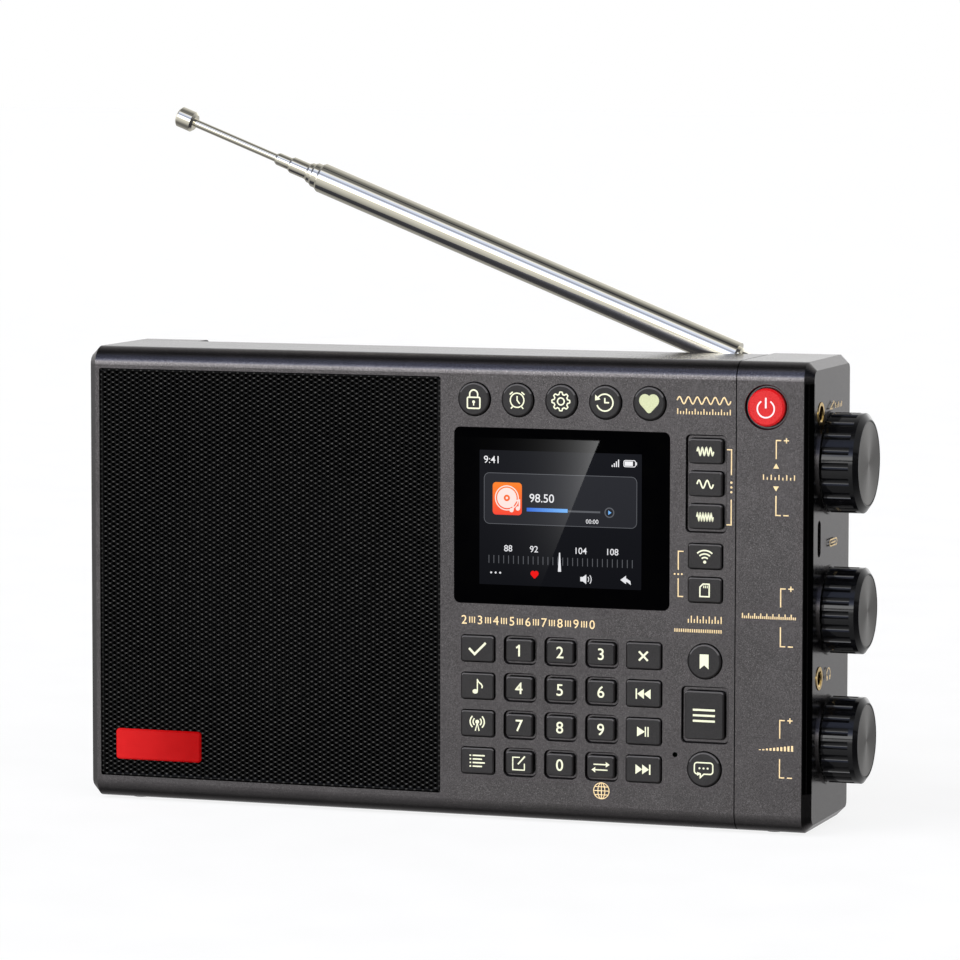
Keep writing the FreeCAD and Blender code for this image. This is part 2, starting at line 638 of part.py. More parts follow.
def ferrite_aerial():
    """The medium wave aerial: a ferrite rod with its coil."""
    x0 = SPEAKER_X + 14
    y, z = 2.5, TOP - 16.0
    rod = rod_x(FERRITE_R, x0, x0 + FERRITE_L, y, z)
    coil = rod_x(COIL_R, x0 + 8, x0 + 8 + COIL_L, y, z)
    return fuse([rod, coil])


# ---------------------------------------------------------------- right-hand end pieces

def rotary_encoders():
    """The three knobs' encoders: box inside, bush through the wall."""
    encoders = []
    depth, wide, high = ENCODER
    inside = INNER_RIGHT - 0.1
    for name, z, radius in KNOBS:
        box = block(inside - depth, inside, KNOB_Y - wide / 2, KNOB_Y + wide / 2, z - high / 2, z + high / 2)
        bush = rod_x(BUSH_R, inside - 0.1, RIGHT + KNOB_RING - 0.1, KNOB_Y, z)
        bore = rod_x(SHAFT_R + RUN, inside - depth + 0.8, RIGHT + 2, KNOB_Y, z)
        encoders.append(fuse([box, bush]).cut(bore))
    return Part.makeCompound(encoders)


def knob(z, radius):
    """A fluted knob on its shaft, with a bevelled rim and a recess for its metal face."""
    x0 = RIGHT + KNOB_RING + KNOB_CLEAR
    x1 = RIGHT + KNOB_REACH
    bevel = radius * (1 - KNOB_FACE)
    barrel = rod_x(radius, x0, x1 - bevel * 0.7, KNOB_Y, z)
    crown = Part.makeCone(radius, radius - bevel, bevel * 0.7, Vector(x1 - bevel * 0.7, KNOB_Y, z), X_AXIS)
    shaft = rod_x(SHAFT_R, INNER_RIGHT - ENCODER[0] + 1.2, x0 + 1, KNOB_Y, z)
    flutes = []
    for number in range(KNOB_FLUTES):
        angle = 2 * math.pi * number / KNOB_FLUTES
        y = KNOB_Y + (radius + FLUTE_OUT) * math.cos(angle)
        up = z + (radius + FLUTE_OUT) * math.sin(angle)
        flutes.append(rod_x(FLUTE_R, x0 - 1, x1 - KNOB_RIM, y, up))
    face = rod_x(radius * KNOB_FACE - 0.35, x1 - FACE_RECESS, x1 + 1, KNOB_Y, z)
    return fuse([barrel, crown, shaft]).cut(flutes + [face])


def phone_jacks():
    """Two 3.5 mm jacks: body inside, gold rim just proud of the wall, and the plug's bore."""
    jacks = []
    deep, wide, high = JACK_BODY
    inside = INNER_RIGHT - 0.1
    mouth = RIGHT + JACK_PROUD
    for z in JACKS_Z:
        body = block(inside - deep, inside, JACK_Y - wide / 2, JACK_Y + wide / 2, z - high / 2, z + high / 2)
        nose = rod_x(JACK_RIM_R, inside - 0.1, mouth, JACK_Y, z)
        bore = rod_x(JACK_BORE_R, mouth - JACK_BORE_L, mouth + 1, JACK_Y, z)
        countersink = Part.makeCone(JACK_BORE_R, JACK_BORE_R + 0.6, 0.4, Vector(mouth - 0.3, JACK_Y, z), X_AXIS)
        jacks.append(fuse([body, nose]).cut([bore, countersink]))
    return Part.makeCompound(jacks)


def usb_socket():
    """The charging socket: a flat oval shell with its contact tongue."""
    long_side, short_side, deep = USB_SHELL
    outer = tile(0, 0, short_side, long_side, short_side / 2 - 0.01, 0, deep)
    inner = tile(0, 0, short_side - 2 * USB_SHELL_T, long_side - 2 * USB_SHELL_T,
                 short_side / 2 - USB_SHELL_T - 0.01, -1, deep - 1)
    tongue = block(-0.35, 0.35, 0.8, deep - 0.5, -3.3, 3.3)
    socket = fuse([outer.cut(inner), tongue])
    socket.rotate(Vector(0, 0, 0), Z_AXIS, 90)
    socket.translate(Vector(RIGHT - 0.9, USB_Y, USB_Z))
    return socket


# ---------------------------------------------------------------- aerial

def tilted(shape):
    """Turn a shape that was made along +X from the pivot to the aerial's standing angle."""
    shape.rotate(Vector(0, 0, 0), Y_AXIS, -(180 - AERIAL_TILT))
    shape.translate(PIVOT)
    return shape


def aerial_base():
    """The swivel base: spindle held in the rear cover, two ears, and the tilt pin between them."""
    x, y, z = PIVOT.x, PIVOT.y, PIVOT.z
    floor = TROUGH_FLOOR + 0.3
    disc_top = z - EAR_R - 0.5
    half = FORK_GAP / 2
    disc = rod_z(BASE_R, x, y, floor, disc_top)
    column = rod_z(BASE_R, x, y, disc_top - 0.1, z)
    knuckle = rod_y(EAR_R, x, y - BASE_R, y + BASE_R, z)
    head = column.fuse(knuckle.common(rod_z(BASE_R, x, y, z - EAR_R, z + EAR_R)))
    gap = block(x - 10, x + 10, y - half, y + half, disc_top, z + 10)
    pin = rod_y(PIN_R, x, y - BASE_R + 0.4, y + BASE_R - 0.4, z)
    spindle = rod_z(SPINDLE_R, x, y, TROUGH_FLOOR - 9.4, floor + 0.1)
    stake = rod_z(STAKE_R, x, y, TROUGH_FLOOR - 9.4, TROUGH_FLOOR - 8.4)
    return fuse([disc, head.cut(gap), pin, spindle, stake])


def ring_tube(outer_r, inner_r, x0, x1):
    """A plain tube along +X."""
    return rod_x(outer_r, x0, x1, 0, 0).cut(rod_x(inner_r, x0 - 1, x1 + 1, 0, 0))


def tube_radii(index):
    """Outer and inner radius of one of the aerial's tubes."""
    outer_r = TUBE_OD[index] / 2
    return outer_r, outer_r - TUBE_WALL


def inner_fit(index):
    """Outer radius of what slides in a tube: the next tube, or the rod in the last one."""
    return TUBE_OD[index + 1] / 2 if index + 1 < len(TUBE_OD) else ROD_D / 2


def aerial_tube(index):
    """A telescoping tube: mouth closed in on what slides in it, collar at its rear in the tube it slides in."""
    outer_r, inner_r = tube_radii(index)
    rear, end = TUBE_REAR[index], TUBE_END[index]
    mouth_r = inner_fit(index) + RUN
    pieces = [ring_tube(outer_r, inner_r, rear, end - 1.0)]
    shoulder = Part.makeCone(outer_r, outer_r - 0.35, 0.6, Vector(end - 0.6, 0, 0), X_AXIS)
    lip = fuse([rod_x(outer_r, end - 1.6, end - 0.6, 0, 0), shoulder])
    pieces.append(lip.cut(rod_x(mouth_r, end - 3, end + 1, 0, 0)))
    if index:
        guide_r = tube_radii(index - 1)[1] - RUN
        pieces.append(ring_tube(guide_r, inner_r, rear, rear + 3))
    return fuse(pieces)


def aerial_main_tube():
    """The outer tube with its plug, and the plug's flat tongue that the tilt pin goes through."""
    outer_r, inner_r = tube_radii(0)
    plug = rod_x(outer_r, TUBE_START, TUBE_START + 1.6, 0, 0)
    neck = rod_x(NECK_R, NECK_START + 0.6, TUBE_START + 0.1, 0, 0)
    bevel = Part.makeCone(NECK_R - 0.6, NECK_R, 0.6, Vector(NECK_START, 0, 0), X_AXIS)
    tongue = block(0, NECK_START + 0.8, -TONGUE_T / 2, TONGUE_T / 2, -TONGUE_R, TONGUE_R)
    eye = rod_y(TONGUE_R, 0, -TONGUE_T / 2, TONGUE_T / 2, 0)
    hole = rod_y(PIN_R + RUN, 0, -5, 5, 0)
    return fuse([aerial_tube(0), plug, neck, bevel, tongue, eye]).cut(hole)


def aerial_rod():
    """The last section: a thin rod with a turned cap, and a collar that slides in the last tube."""
    start, stop = CAP_SPAN
    rod = rod_x(ROD_D / 2, ROD_REAR, start + 0.5, 0, 0)
    collar = rod_x(tube_radii(4)[1] - RUN, ROD_REAR, ROD_REAR + 3, 0, 0)
    neck = Part.makeCone(CAP_D / 2 - 0.7, CAP_D / 2, 0.7, Vector(start, 0, 0), X_AXIS)
    head = rod_x(CAP_D / 2, start + 0.7, stop - 0.5, 0, 0)
    tip = Part.makeCone(CAP_D / 2, CAP_D / 2 - 0.5, 0.5, Vector(stop - 0.5, 0, 0), X_AXIS)
    return fuse([rod, collar, neck, head, tip])


# ---------------------------------------------------------------- the whole receiver

os.makedirs("parts", exist_ok=True)

whole_shell = cabinet()
export("front_housing", front_housing(whole_shell))
export("rear_cover", rear_cover(whole_shell))
export("end_section", end_section(whole_shell))
export("rubber_feet", rubber_feet())
export("housing_screws", housing_screws())
export("speaker_grille", speaker_grille())
export("badge", badge())
export("display_window", display_window())
export("display_module", display_module())
export("main_board", main_board())
export("speaker", speaker())
export("battery_pack", battery_pack())
export("ferrite_aerial", ferrite_aerial())
export("rotary_encoders", rotary_encoders())
export("phone_jacks", phone_jacks())
export("usb_socket", usb_socket())

for key_name, key_x, key_z, key_w, key_h, key_r in rectangular_keys():
    export(key_name, rectangular_cap(key_x, key_z, key_w, key_h, key_r))
for key_name, key_x, key_z, key_r in round_keys():
    export(key_name, round_cap(key_x, key_z, key_r, PROUD, 0.4))
export("power_button", power_cap())

for knob_name, knob_z, knob_r in KNOBS:
    export(knob_name, knob(knob_z, knob_r))

export("aerial_base", aerial_base())
export("aerial_tube_1", tilted(aerial_main_tube()))
for tube_number in range(1, len(TUBE_OD)):
    export("aerial_tube_" + str(tube_number + 1), tilted(aerial_tube(tube_number)))
export("aerial_rod", tilted(aerial_rod()))
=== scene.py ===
"""Looks of the shortwave receiver: finishes, perforated grille, printed marks, screen and studio.

The CAD nodes are the frame. Lengths are millimetres; MM turns them into metres.
"""

import json
import math

import bmesh
import bpy
from mathutils import Matrix, Vector

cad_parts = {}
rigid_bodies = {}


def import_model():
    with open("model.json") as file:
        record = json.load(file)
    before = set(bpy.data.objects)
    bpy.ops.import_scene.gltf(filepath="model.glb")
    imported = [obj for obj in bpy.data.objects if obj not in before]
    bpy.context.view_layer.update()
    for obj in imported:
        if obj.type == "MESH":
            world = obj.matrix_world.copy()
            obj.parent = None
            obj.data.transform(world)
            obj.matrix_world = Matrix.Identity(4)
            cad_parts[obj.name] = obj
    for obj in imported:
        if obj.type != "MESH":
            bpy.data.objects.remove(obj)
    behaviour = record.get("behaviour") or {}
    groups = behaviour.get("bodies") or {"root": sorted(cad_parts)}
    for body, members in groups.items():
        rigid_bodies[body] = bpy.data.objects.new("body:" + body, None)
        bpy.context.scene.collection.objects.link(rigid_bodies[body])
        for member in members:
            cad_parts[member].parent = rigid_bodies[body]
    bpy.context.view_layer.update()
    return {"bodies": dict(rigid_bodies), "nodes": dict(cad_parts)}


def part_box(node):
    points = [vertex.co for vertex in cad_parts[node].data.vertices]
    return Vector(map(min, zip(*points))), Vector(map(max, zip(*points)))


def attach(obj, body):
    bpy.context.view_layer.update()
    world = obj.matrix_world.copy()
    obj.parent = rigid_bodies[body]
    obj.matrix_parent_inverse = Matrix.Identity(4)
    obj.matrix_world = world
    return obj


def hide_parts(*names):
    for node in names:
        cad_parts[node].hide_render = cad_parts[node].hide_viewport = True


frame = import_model()
MM = 0.001
FAR = 900.0  # millimetres, beyond everything


def box_mm(node):
    """Lowest and highest corner of a CAD node in millimetres."""
    low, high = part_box(node)
    return low / MM, high / MM


def middle_mm(node):
    """The middle of a CAD node's box, without the arm to the left of the power button."""
    low, high = box_mm(node)
    middle = (low + high) / 2
    if node == "power_button":
        middle.x = high.x - (high.z - low.z) / 2
    return middle


# ---- sizes

INK = 0.02  # thickness of printed marks
STROKE = 0.3  # width of the gold lines
LAYER = 0.0004  # each mark stands this much above the one before, so that none coincide
SHARPEST_MITRE = 0.35  # corners sharper than this cosine are cut short
SCREEN_LAYERS = (0.0, 0.022, 0.044, 0.07, 0.1)  # where the screen's layers start, before the window

GRILLE_PITCH = 1.4  # holes up a column; the columns are staggered
GRILLE_HOLE = 1.02  # across the flats of a hole
GRILLE_HOLE_R = GRILLE_HOLE / 2 / math.cos(math.radians(30))
GRILLE_EDGE = 0.45  # plain edge round the holes
GRILLE_CORNER = 0.7
GRILLE_BRIDGE = (0.24, 0.14)  # half the width and height of the painted highlight on a level bridge, in column and row pitches

RECESS_DEPTH = 1.1  # depth of the recesses round the keys
RIM_SHADE = 0.26  # width of the painted shade along the rims of their floors
PANEL_WALL = 3.0  # the walls round the keys are painted in shade down to this depth
KEY_FLANK = 0.52  # where the keys' bevels end, this far before the panel; deeper than this their flanks have painted shade
JACK_RIM = 2.5  # the jacks are gold-plated down to this depth

GLASS_SHINE = 0.008  # how strongly the glass reflects
GLARE_TOP = Vector((40.1, 105.6))  # the glare's edge on the window, from here
GLARE_FOOT = Vector((22.1, 62.1))  # to here, as X and Z
GLARE_POWER = 3.3  # its strength against a plain lamp of one watt
GLARE_FADE = 6.3  # how far from its edge it falls to a third
GLARE_CARD = 300.0  # how far in front of the window its card stands

KNOBS = ("tuning_knob", "fine_tuning_knob", "volume_knob")
FACE_INSET = (0.87, 0.42, 0.04)  # knob face: share of the knob's radius, less this, and set back this far
FACE_TURNS = 96  # points round it
AERIAL_RISE = 21.52  # the aerial's angle above level, in degrees

CAMERA_TARGET = Vector((5.96, -21.0, 93.91))
CAMERA_DISTANCE = 1343.9
CAMERA_TURN = (18.854, 5.174, 0.084)  # azimuth, elevation and roll in degrees
CAMERA_LENS = 184.38
SENSOR = 36.0
STUDIO_LIGHT = 5.0  # brightness of the studio's brightest band
FLOOR_REACH = 12000.0  # from the middle of the floor to each side

window_low, window_high = box_mm("display_window")
FRONT = box_mm("front_housing")[0].y
RIGHT = box_mm("end_section")[1].x


# ---- material toolkit

def shade(*display):
    """A display colour, 0 to 255 each, as a linear colour."""
    parts = [part / 255 for part in display]
    linear = [part / 12.92 if part <= 0.04045 else ((part + 0.055) / 1.055) ** 2.4 for part in parts]
    return (*linear, 1.0)


class Nodes:
    """A node tree that grows by calls: most add one node and return its output."""

    def __init__(self, tree):
        self.tree = tree

    def put(self, value, socket):
        """Sets a socket, or links an output to it; three numbers are a display colour."""
        if isinstance(value, bpy.types.NodeSocket):
            self.tree.links.new(value, socket)
        elif socket.type == "RGBA" and len(value) == 3:
            socket.default_value = shade(*value)
        else:
            socket.default_value = value

    def node(self, kind, *values, output=0, **settings):
        """A node with its inputs filled in order; None leaves an input as it is."""
        made = self.tree.nodes.new("ShaderNode" + kind)
        for setting, value in settings.items():
            setattr(made, setting, value)
        for value, socket in zip(values, made.inputs):
            if value is not None:
                self.put(value, socket)
        return made.outputs[output]

    def maths(self, operation, *values):
        return self.node("Math", *values, operation=operation)

    def product(self, *values):
        """Several values multiplied."""
        made = values[0]
        for value in values[1:]:
            made = self.maths("MULTIPLY", made, value)
        return made

    def share(self, value, low, high):
        """How far a value has come from low to high."""
        return self.maths("DIVIDE", self.maths("SUBTRACT", value, low), high - low)

    def part(self, vector, axis):
        return self.node("SeparateXYZ", vector, output=axis)

    def mix(self, share, first, second):
        colours = [None] * 5 + [first, second]
        return self.node("Mix", share, *colours, output=2, data_type="RGBA")


class Finish(Nodes):
    """A procedural material: one Principled shader and the nodes that drive it."""

    def __init__(self, name, **fixed):
        self.material = bpy.data.materials.new(name)
        self.material.use_nodes = True
        super().__init__(self.material.node_tree)
        self.shader = self.tree.nodes["Principled BSDF"]
        self.place = self.node("TexCoord", output="Object")
        for words, value in fixed.items():
            self.shader.inputs[words.replace("_", " ")].default_value = value

    def drive(self, name, value):
        self.put(value, self.shader.inputs[name])
        return self

    def colour(self, share, dark, light):
        return self.drive("Base Color", self.mix(share, dark, light))

    def rough(self, value, smooth, coarse, low=0.3, high=0.7):
        """Roughness from smooth to coarse while a value goes from low to high."""
        return self.drive("Roughness", self.remap(value, low, high, smooth, coarse))

    def vector(self, operation, *values):
        output = "Value" if operation == "LENGTH" else "Vector"
        return self.node("VectorMath", *values, output=output, operation=operation)

    def spread(self, stretch=(1, 1, 1)):
        """Object coordinates in millimetres, divided by stretch along each axis."""
        return self.vector("MULTIPLY", self.place, tuple(1 / (MM * part) for part in stretch))

    def along(self, axis):
        """The object coordinate along an axis in millimetres."""
        return self.part(self.spread(), axis)

    def noise(self, size, detail=2.0, stretch=(1, 1, 1)):
        """Soft noise whose features are about size millimetres wide."""
        return self.node("TexNoise", self.spread([size * part for part in stretch]), None, 1.0, detail)

    def cells(self, size):
        """Voronoi cells about size millimetres wide, each with its own random colour."""
        return self.node("TexVoronoi", self.spread((size, size, size)), None, 1.0, output="Color")

    def remap(self, value, low, high, new_low=0.0, new_high=1.0):
        return self.node("MapRange", value, low, high, new_low, new_high)

    def blend(self, first, second, share):
        """Mostly the first value, and a share of the second."""
        return self.maths("ADD", self.product(first, 1 - share), self.product(second, share))

    def inside(self, low, high):
        """1 inside a box given in millimetres, else 0."""
        share = 1.0
        for axis in range(3):
            along = self.along(axis)
            share = self.product(share, self.maths("GREATER_THAN", along, low[axis]),
                                 self.maths("LESS_THAN", along, high[axis]))
        return share

    def inset(self, middle, size, radius, pitch):
        """How far a place is inside a rounded rectangle, up to its radius; repeated at a pitch."""
        half = Vector((pitch[0] / 2, FAR, pitch[1] / 2))
        way = self.vector("SUBTRACT", self.spread(), (middle.x, 0, middle.z))
        way = self.vector("ABSOLUTE", self.vector("WRAP", way, half, -half))
        way = self.vector("SUBTRACT", way, (size[0] / 2 - radius, FAR, size[1] / 2 - radius))
        return self.maths("SUBTRACT", radius, self.vector("LENGTH", self.vector("MAXIMUM", way, (0, 0, 0))))

    def relief(self, height, depth, strength=1.0):
        """Bumps up to depth millimetres high."""
        bump = self.tree.nodes.new("ShaderNodeBump")
        for name, value in (("Distance", depth * MM), ("Strength", strength), ("Height", height)):
            self.put(value, bump.inputs[name])
        return self.drive("Normal", bump.outputs[0])


def textured(name, dark, light, grain, rough, depth, stretch=(1, 1, 1), **fixed):
    """A finish whose colour, roughness and relief follow the same fine grain."""
    made = Finish(name, **fixed)
    fine = made.noise(grain, 3.0, stretch)
    speckle = made.blend(fine, made.noise(grain * 40), 0.2)
    made.colour(made.remap(speckle, 0.35, 0.65), dark, light)
    made.rough(speckle, *rough, 0.35, 0.65)
    return made.relief(fine, depth)


def grille_layout():
    """The grille's first column, column pitch, first row, and numbers of columns and rows."""
    low, high = box_mm("speaker_grille")
    step_x = GRILLE_PITCH * math.cos(math.radians(30))
    columns = int((high.x - low.x - 2 * GRILLE_EDGE - 2 * GRILLE_HOLE_R) / step_x) + 1
    rows = int((high.z - low.z - 2 * GRILLE_EDGE - GRILLE_HOLE) / GRILLE_PITCH + 0.5)
    column_0 = (low.x + high.x - (columns - 1) * step_x) / 2
    row_0 = (low.z + high.z - (rows - 0.5) * GRILLE_PITCH) / 2
    return column_0, step_x, row_0, columns, rows


# ---- materials of the CAD nodes

def painted_rim_shade(made):
    """1 where shade is painted on the recesses' floors, beside the walls and round the keys, else 0."""
    home, beside, above = (middle_mm(name) for name in ("key_5", "key_6", "key_2"))
    digits = (beside.x - home.x, above.z - home.z)
    bands = (FAR, middle_mm("key_band_1").z - middle_mm("key_band_2").z)
    alone = (FAR, FAR)
    shaded = 0.0
    for name, frame_size, corner, frame_pitch, key_size, key_corner, key_pitch in (
            ("key_5", (9.3, 7.8), 1.6, digits, (7.5, 6.0), 1.2, digits),
            ("key_band_2", (11.25, 26.3), 1.2, alone, (9.35, 6.6), 1.2, bands),
            ("key_menu", (13.05, 15.3), 1.2, alone, (10.9, 13.05), 1.2, alone),
            ("power_button", (12.0, 12.0), 6.0, alone, (10.2, 10.2), 5.1, alone)):
        in_frame = made.inset(middle_mm(name), frame_size, corner, frame_pitch)
        near_size = [side + 2 * RIM_SHADE for side in key_size]
        near_key = made.inset(middle_mm(name), near_size, key_corner + RIM_SHADE, key_pitch)
        by_key = made.product(made.maths("GREATER_THAN", near_key, 0.0),
                              made.maths("GREATER_THAN", in_frame, 0.0))
        found = made.maths("MAXIMUM", made.maths("COMPARE", in_frame, 0.0, RIM_SHADE), by_key)
        if name == "key_5":
            keypad_end = (beside.x + middle_mm("key_menu").x) / 2
            found = made.product(found, made.maths("LESS_THAN", made.along(0), keypad_end))
        shaded = made.maths("MAXIMUM", shaded, found)
    return shaded


def cabinet_paint():
    """Warm dark grey metallic paint; black behind the grille, with painted shade on the walls round the keys
    and along the rims of their floors.
    """
    made = Finish("cabinet_paint", Metallic=1.0)
    fine = made.noise(0.24, 3.0)
    tone = made.blend(fine, made.noise(9.0), 0.15)
    flakes = made.remap(made.part(made.cells(0.2), 0), 0.84, 0.98)
    paint = made.mix(made.remap(tone, 0.34, 0.66), (78, 76, 77), (106, 103, 104))
    paint = made.mix(made.product(flakes, 0.3), paint, (150, 146, 146))
    low, high = box_mm("speaker_grille")
    pocket = made.inside((low.x - 0.3, FRONT + 0.5, low.z - 0.3), (high.x + 0.3, 0.0, high.z + 0.3))
    # painted shade: inside the recesses everything but the open floor is coloured dark, that is the walls, the
    # holes round the keys and the rims of the floors
    low, high = box_mm("key_list")[0], box_mm("power_button")[1]
    recess = made.inside((low.x - 2, FRONT + 0.2, low.z - 1), (RIGHT - 0.2, FRONT + PANEL_WALL, high.z + 0.6))
    floor_level = made.maths("COMPARE", made.along(1), FRONT + RECESS_DEPTH, 0.05)
    bare = made.product(floor_level, made.maths("SUBTRACT", 1.0, painted_rim_shade(made)))
    dark = made.product(recess, made.maths("SUBTRACT", 1.0, bare))
    made.colour(pocket, made.mix(dark, paint, (24, 23, 24)), (9, 9, 9))
    made.rough(tone, 0.2, 0.27, 0.34, 0.66)
    return made.relief(fine, 0.012, 0.5)


def key_plastic():
    """Dark moulded plastic, with painted shade down the flanks and a painted highlight along the upper edges.
    """
    made = textured("key_plastic", (26, 25, 25), (40, 38, 38), 0.22, (0.34, 0.46), 0.008,
                    Specular_IOR_Level=0.3)
    plain = made.shader.inputs["Base Color"].links[0].from_socket
    # painted highlight: faces turned upward are coloured paler, as if lit from above
    painted_top_highlight = made.maths("GREATER_THAN", made.part(made.node("TexCoord", output="Normal"), 2), 0.3)
    # painted shade: the flanks, deeper than the bevels, are coloured near black
    painted_flank_shade = made.maths("GREATER_THAN", made.along(1), FRONT - KEY_FLANK)
    return made.colour(painted_flank_shade, made.mix(painted_top_highlight, plain, (88, 86, 86)), (6, 6, 6))


def knob_gloss():
    """Piano black moulding with a faint ripple and hairlines."""
    made = Finish("knob_plastic", Specular_IOR_Level=0.38)
    haze = made.noise(1.6, 3.0)
    hairline = made.noise(0.08, stretch=(18, 1, 1))
    made.colour(haze, (5, 5, 6), (12, 12, 14))
    made.rough(made.maths("ADD", haze, hairline), 0.04, 0.08, 0.7, 1.3)
    return made.relief(haze, 0.01, 0.5)


def badge_red():
    """Red lacquer over bright metal, lighter towards the left end."""
    made = Finish("badge_red", Specular_IOR_Level=0.1)
    low, high = box_mm("badge")
    across = made.remap(made.along(0), low.x, high.x)
    cloud = made.maths("ADD", across, made.product(made.noise(4.0, 3.0), 0.25))
    made.colour(cloud, (194, 28, 29), (148, 4, 6))
    made.rough(made.noise(1.2), 0.14, 0.22)
    return made.relief(made.noise(2.0), 0.004)


def window_glass():
    """Black printed glass with a dull reflection-reducing face."""
    made = Finish("window_black", Specular_IOR_Level=GLASS_SHINE)
    film = made.noise(5.0)
    made.colour(film, (0, 0, 1), (2, 2, 2))
    return made.rough(film, 0.008, 0.014)


def circuit_board():
    """Green solder mask with copper lanes under it."""
    made = Finish("board_green")
    lanes = made.maths("LESS_THAN", made.maths("FRACT", made.product(made.along(2), 0.7)), 0.3)
    broken = made.product(lanes, made.maths("GREATER_THAN", made.noise(6.0, 1.0, (3, 1, 1)), 0.5))
    made.colour(broken, (10, 62, 36), (30, 104, 62))
    made.rough(made.noise(1.0), 0.25, 0.4)
    return made.relief(broken, 0.03)


def aerial_chrome():
    """Plated brass tube: polished, with faint draw lines along it, and a faint painted glow."""
    # painted light: a faint bluish emission makes the tube glow a little, though it is no lamp
    made = Finish("aerial_chrome", Metallic=1.0, Emission_Color=(0.9, 0.9, 1.0, 1.0), Emission_Strength=0.03)
    turn = -math.radians(AERIAL_RISE)
    made.place = made.node("VectorRotate", made.place, None, None, turn, rotation_type="Y_AXIS")
    lines = made.noise(0.12, 3.0, (260, 1, 1))
    haze = made.noise(7.0)
    made.colour(haze, (226, 220, 201), (241, 237, 218))
    made.rough(made.maths("ADD", lines, haze), 0.04, 0.08, 0.7, 1.3)
    return made.relief(lines, 0.002, 0.5)


def jack_brass():
    """Gold-plated rim; black moulding inside the jack."""
    made = textured("jack_brass", (214, 176, 96), (240, 206, 132), 0.25, (0.14, 0.24), 0.006, Metallic=1.0)
    plated = made.shader.inputs["Base Color"].links[0].from_socket
    return made.colour(made.maths("GREATER_THAN", made.along(0), RIGHT - JACK_RIM), (8, 8, 8), plated)


def grille_metal():
    """Black sheet, with painted highlights on the level bridges between its holes."""
    made = Finish("grille_metal", Specular_IOR_Level=0.08)
    column_0, step_x, row_0, *_ = grille_layout()
    across = made.share(made.along(0), column_0, column_0 + step_x)
    column = made.maths("ROUND", across)
    offset = made.product(made.maths("PINGPONG", column, 1.0), 0.5)
    up = made.share(made.along(2), row_0, row_0 + GRILLE_PITCH)
    beyond = made.maths("FRACT", made.maths("SUBTRACT", up, offset))
    bridge = made.product(made.maths("COMPARE", across, column, GRILLE_BRIDGE[0]),
                          made.maths("COMPARE", beyond, 0.5, GRILLE_BRIDGE[1]))
    # painted highlight: the bridges are coloured paler, as if their edges caught the light, more strongly in
    # some places than others
    painted_highlight = made.product(bridge, made.remap(made.noise(2.6, 3.0), 0.3, 0.7, 0.35, 1.0))
    fine = made.noise(0.2)
    made.colour(painted_highlight, made.mix(fine, (1, 1, 1), (5, 5, 5)), (66, 65, 63))
    made.rough(fine, 0.3, 0.4)
    return made.relief(fine, 0.004)


METAL = {"Metallic": 1.0}
# plainly grained finishes: dark and light colour, grain, roughness, relief, other settings
GRAINED = {
    "power_plastic": ((184, 14, 18), (202, 22, 26), 0.3, (0.24, 0.36), 0.006, {"Specular_IOR_Level": 0.4}),
    "module_metal": ((150, 150, 148), (186, 186, 184), 0.15, (0.25, 0.4), 0.01,
                     {"stretch": (30, 1, 1), **METAL}),
    "speaker_black": ((4, 4, 4), (9, 9, 9), 0.5, (0.7, 0.9), 0.05, {"Specular_IOR_Level": 0.1}),
    "cell_wrap": ((22, 66, 128), (34, 86, 152), 3.0, (0.25, 0.4), 0.03, {}),
    "ferrite": ((44, 44, 46), (66, 66, 68), 0.3, (0.5, 0.7), 0.03, {}),
    "encoder_metal": ((120, 120, 118), (160, 160, 157), 0.15, (0.3, 0.45), 0.01, METAL),
    "socket_steel": ((112, 112, 112), (150, 150, 150), 0.2, (0.25, 0.4), 0.008, METAL),
    "screw_steel": ((52, 52, 54), (84, 84, 86), 0.12, (0.3, 0.45), 0.01, METAL),
    "foot_rubber": ((16, 16, 16), (30, 30, 30), 0.25, (0.65, 0.85), 0.03, {}),
}


def slot_name(material):
    """A material's name without the number that tells it from the CAD's own."""
    return material.name.split(".")[0]


def finishes():
    """Every CAD node's material, by the slot that the CAD gives it."""
    made = [textured(name, *values[:5], **values[5]) for name, values in GRAINED.items()]
    made += [make() for make in (cabinet_paint, key_plastic, knob_gloss, grille_metal, badge_red, window_glass,
                                 circuit_board, jack_brass, aerial_chrome)]
    return {slot_name(finish.material): finish.material for finish in made}


# ---- materials of the new pieces

def ink(name, dark, light):
    """Screen-printed ink: slightly uneven in tone and sheen."""
    return textured(name, dark, light, 0.3, (0.45, 0.65), 0.006).material


def lit(name, dark, light, low, high, axis=2):
    """Part of the screen, behind the window's glass: it glows from dark to light along an axis."""
    made = Finish(name, Specular_IOR_Level=GLASS_SHINE, Roughness=0.01, Emission_Strength=1.0)
    along = made.remap(made.along(axis), low, high)
    grid = made.product(made.noise(0.25, 1.0), 0.2)
    made.drive("Emission Color", made.mix(made.maths("ADD", made.product(along, 0.8), grid), dark, light))
    return made.colour(grid, (1, 1, 1), (4, 4, 5)).material


def spun_metal():
    """Grey anodised disc turned on a lathe: the highlight fans out from the middle."""
    made = Finish("spun_metal", Metallic=1.0, Anisotropic=0.75, Anisotropic_Rotation=0.25)
    made.drive("Tangent", made.node("Tangent", direction_type="RADIAL", axis="X"))
    grain = made.noise(0.2)
    made.colour(grain, (92, 90, 88), (106, 104, 102))
    return made.rough(grain, 0.3, 0.38).material


# ---- meshes

def new_object(name, data):
    made = bpy.data.objects.new(name, data)
    bpy.context.scene.collection.objects.link(made)
    return made


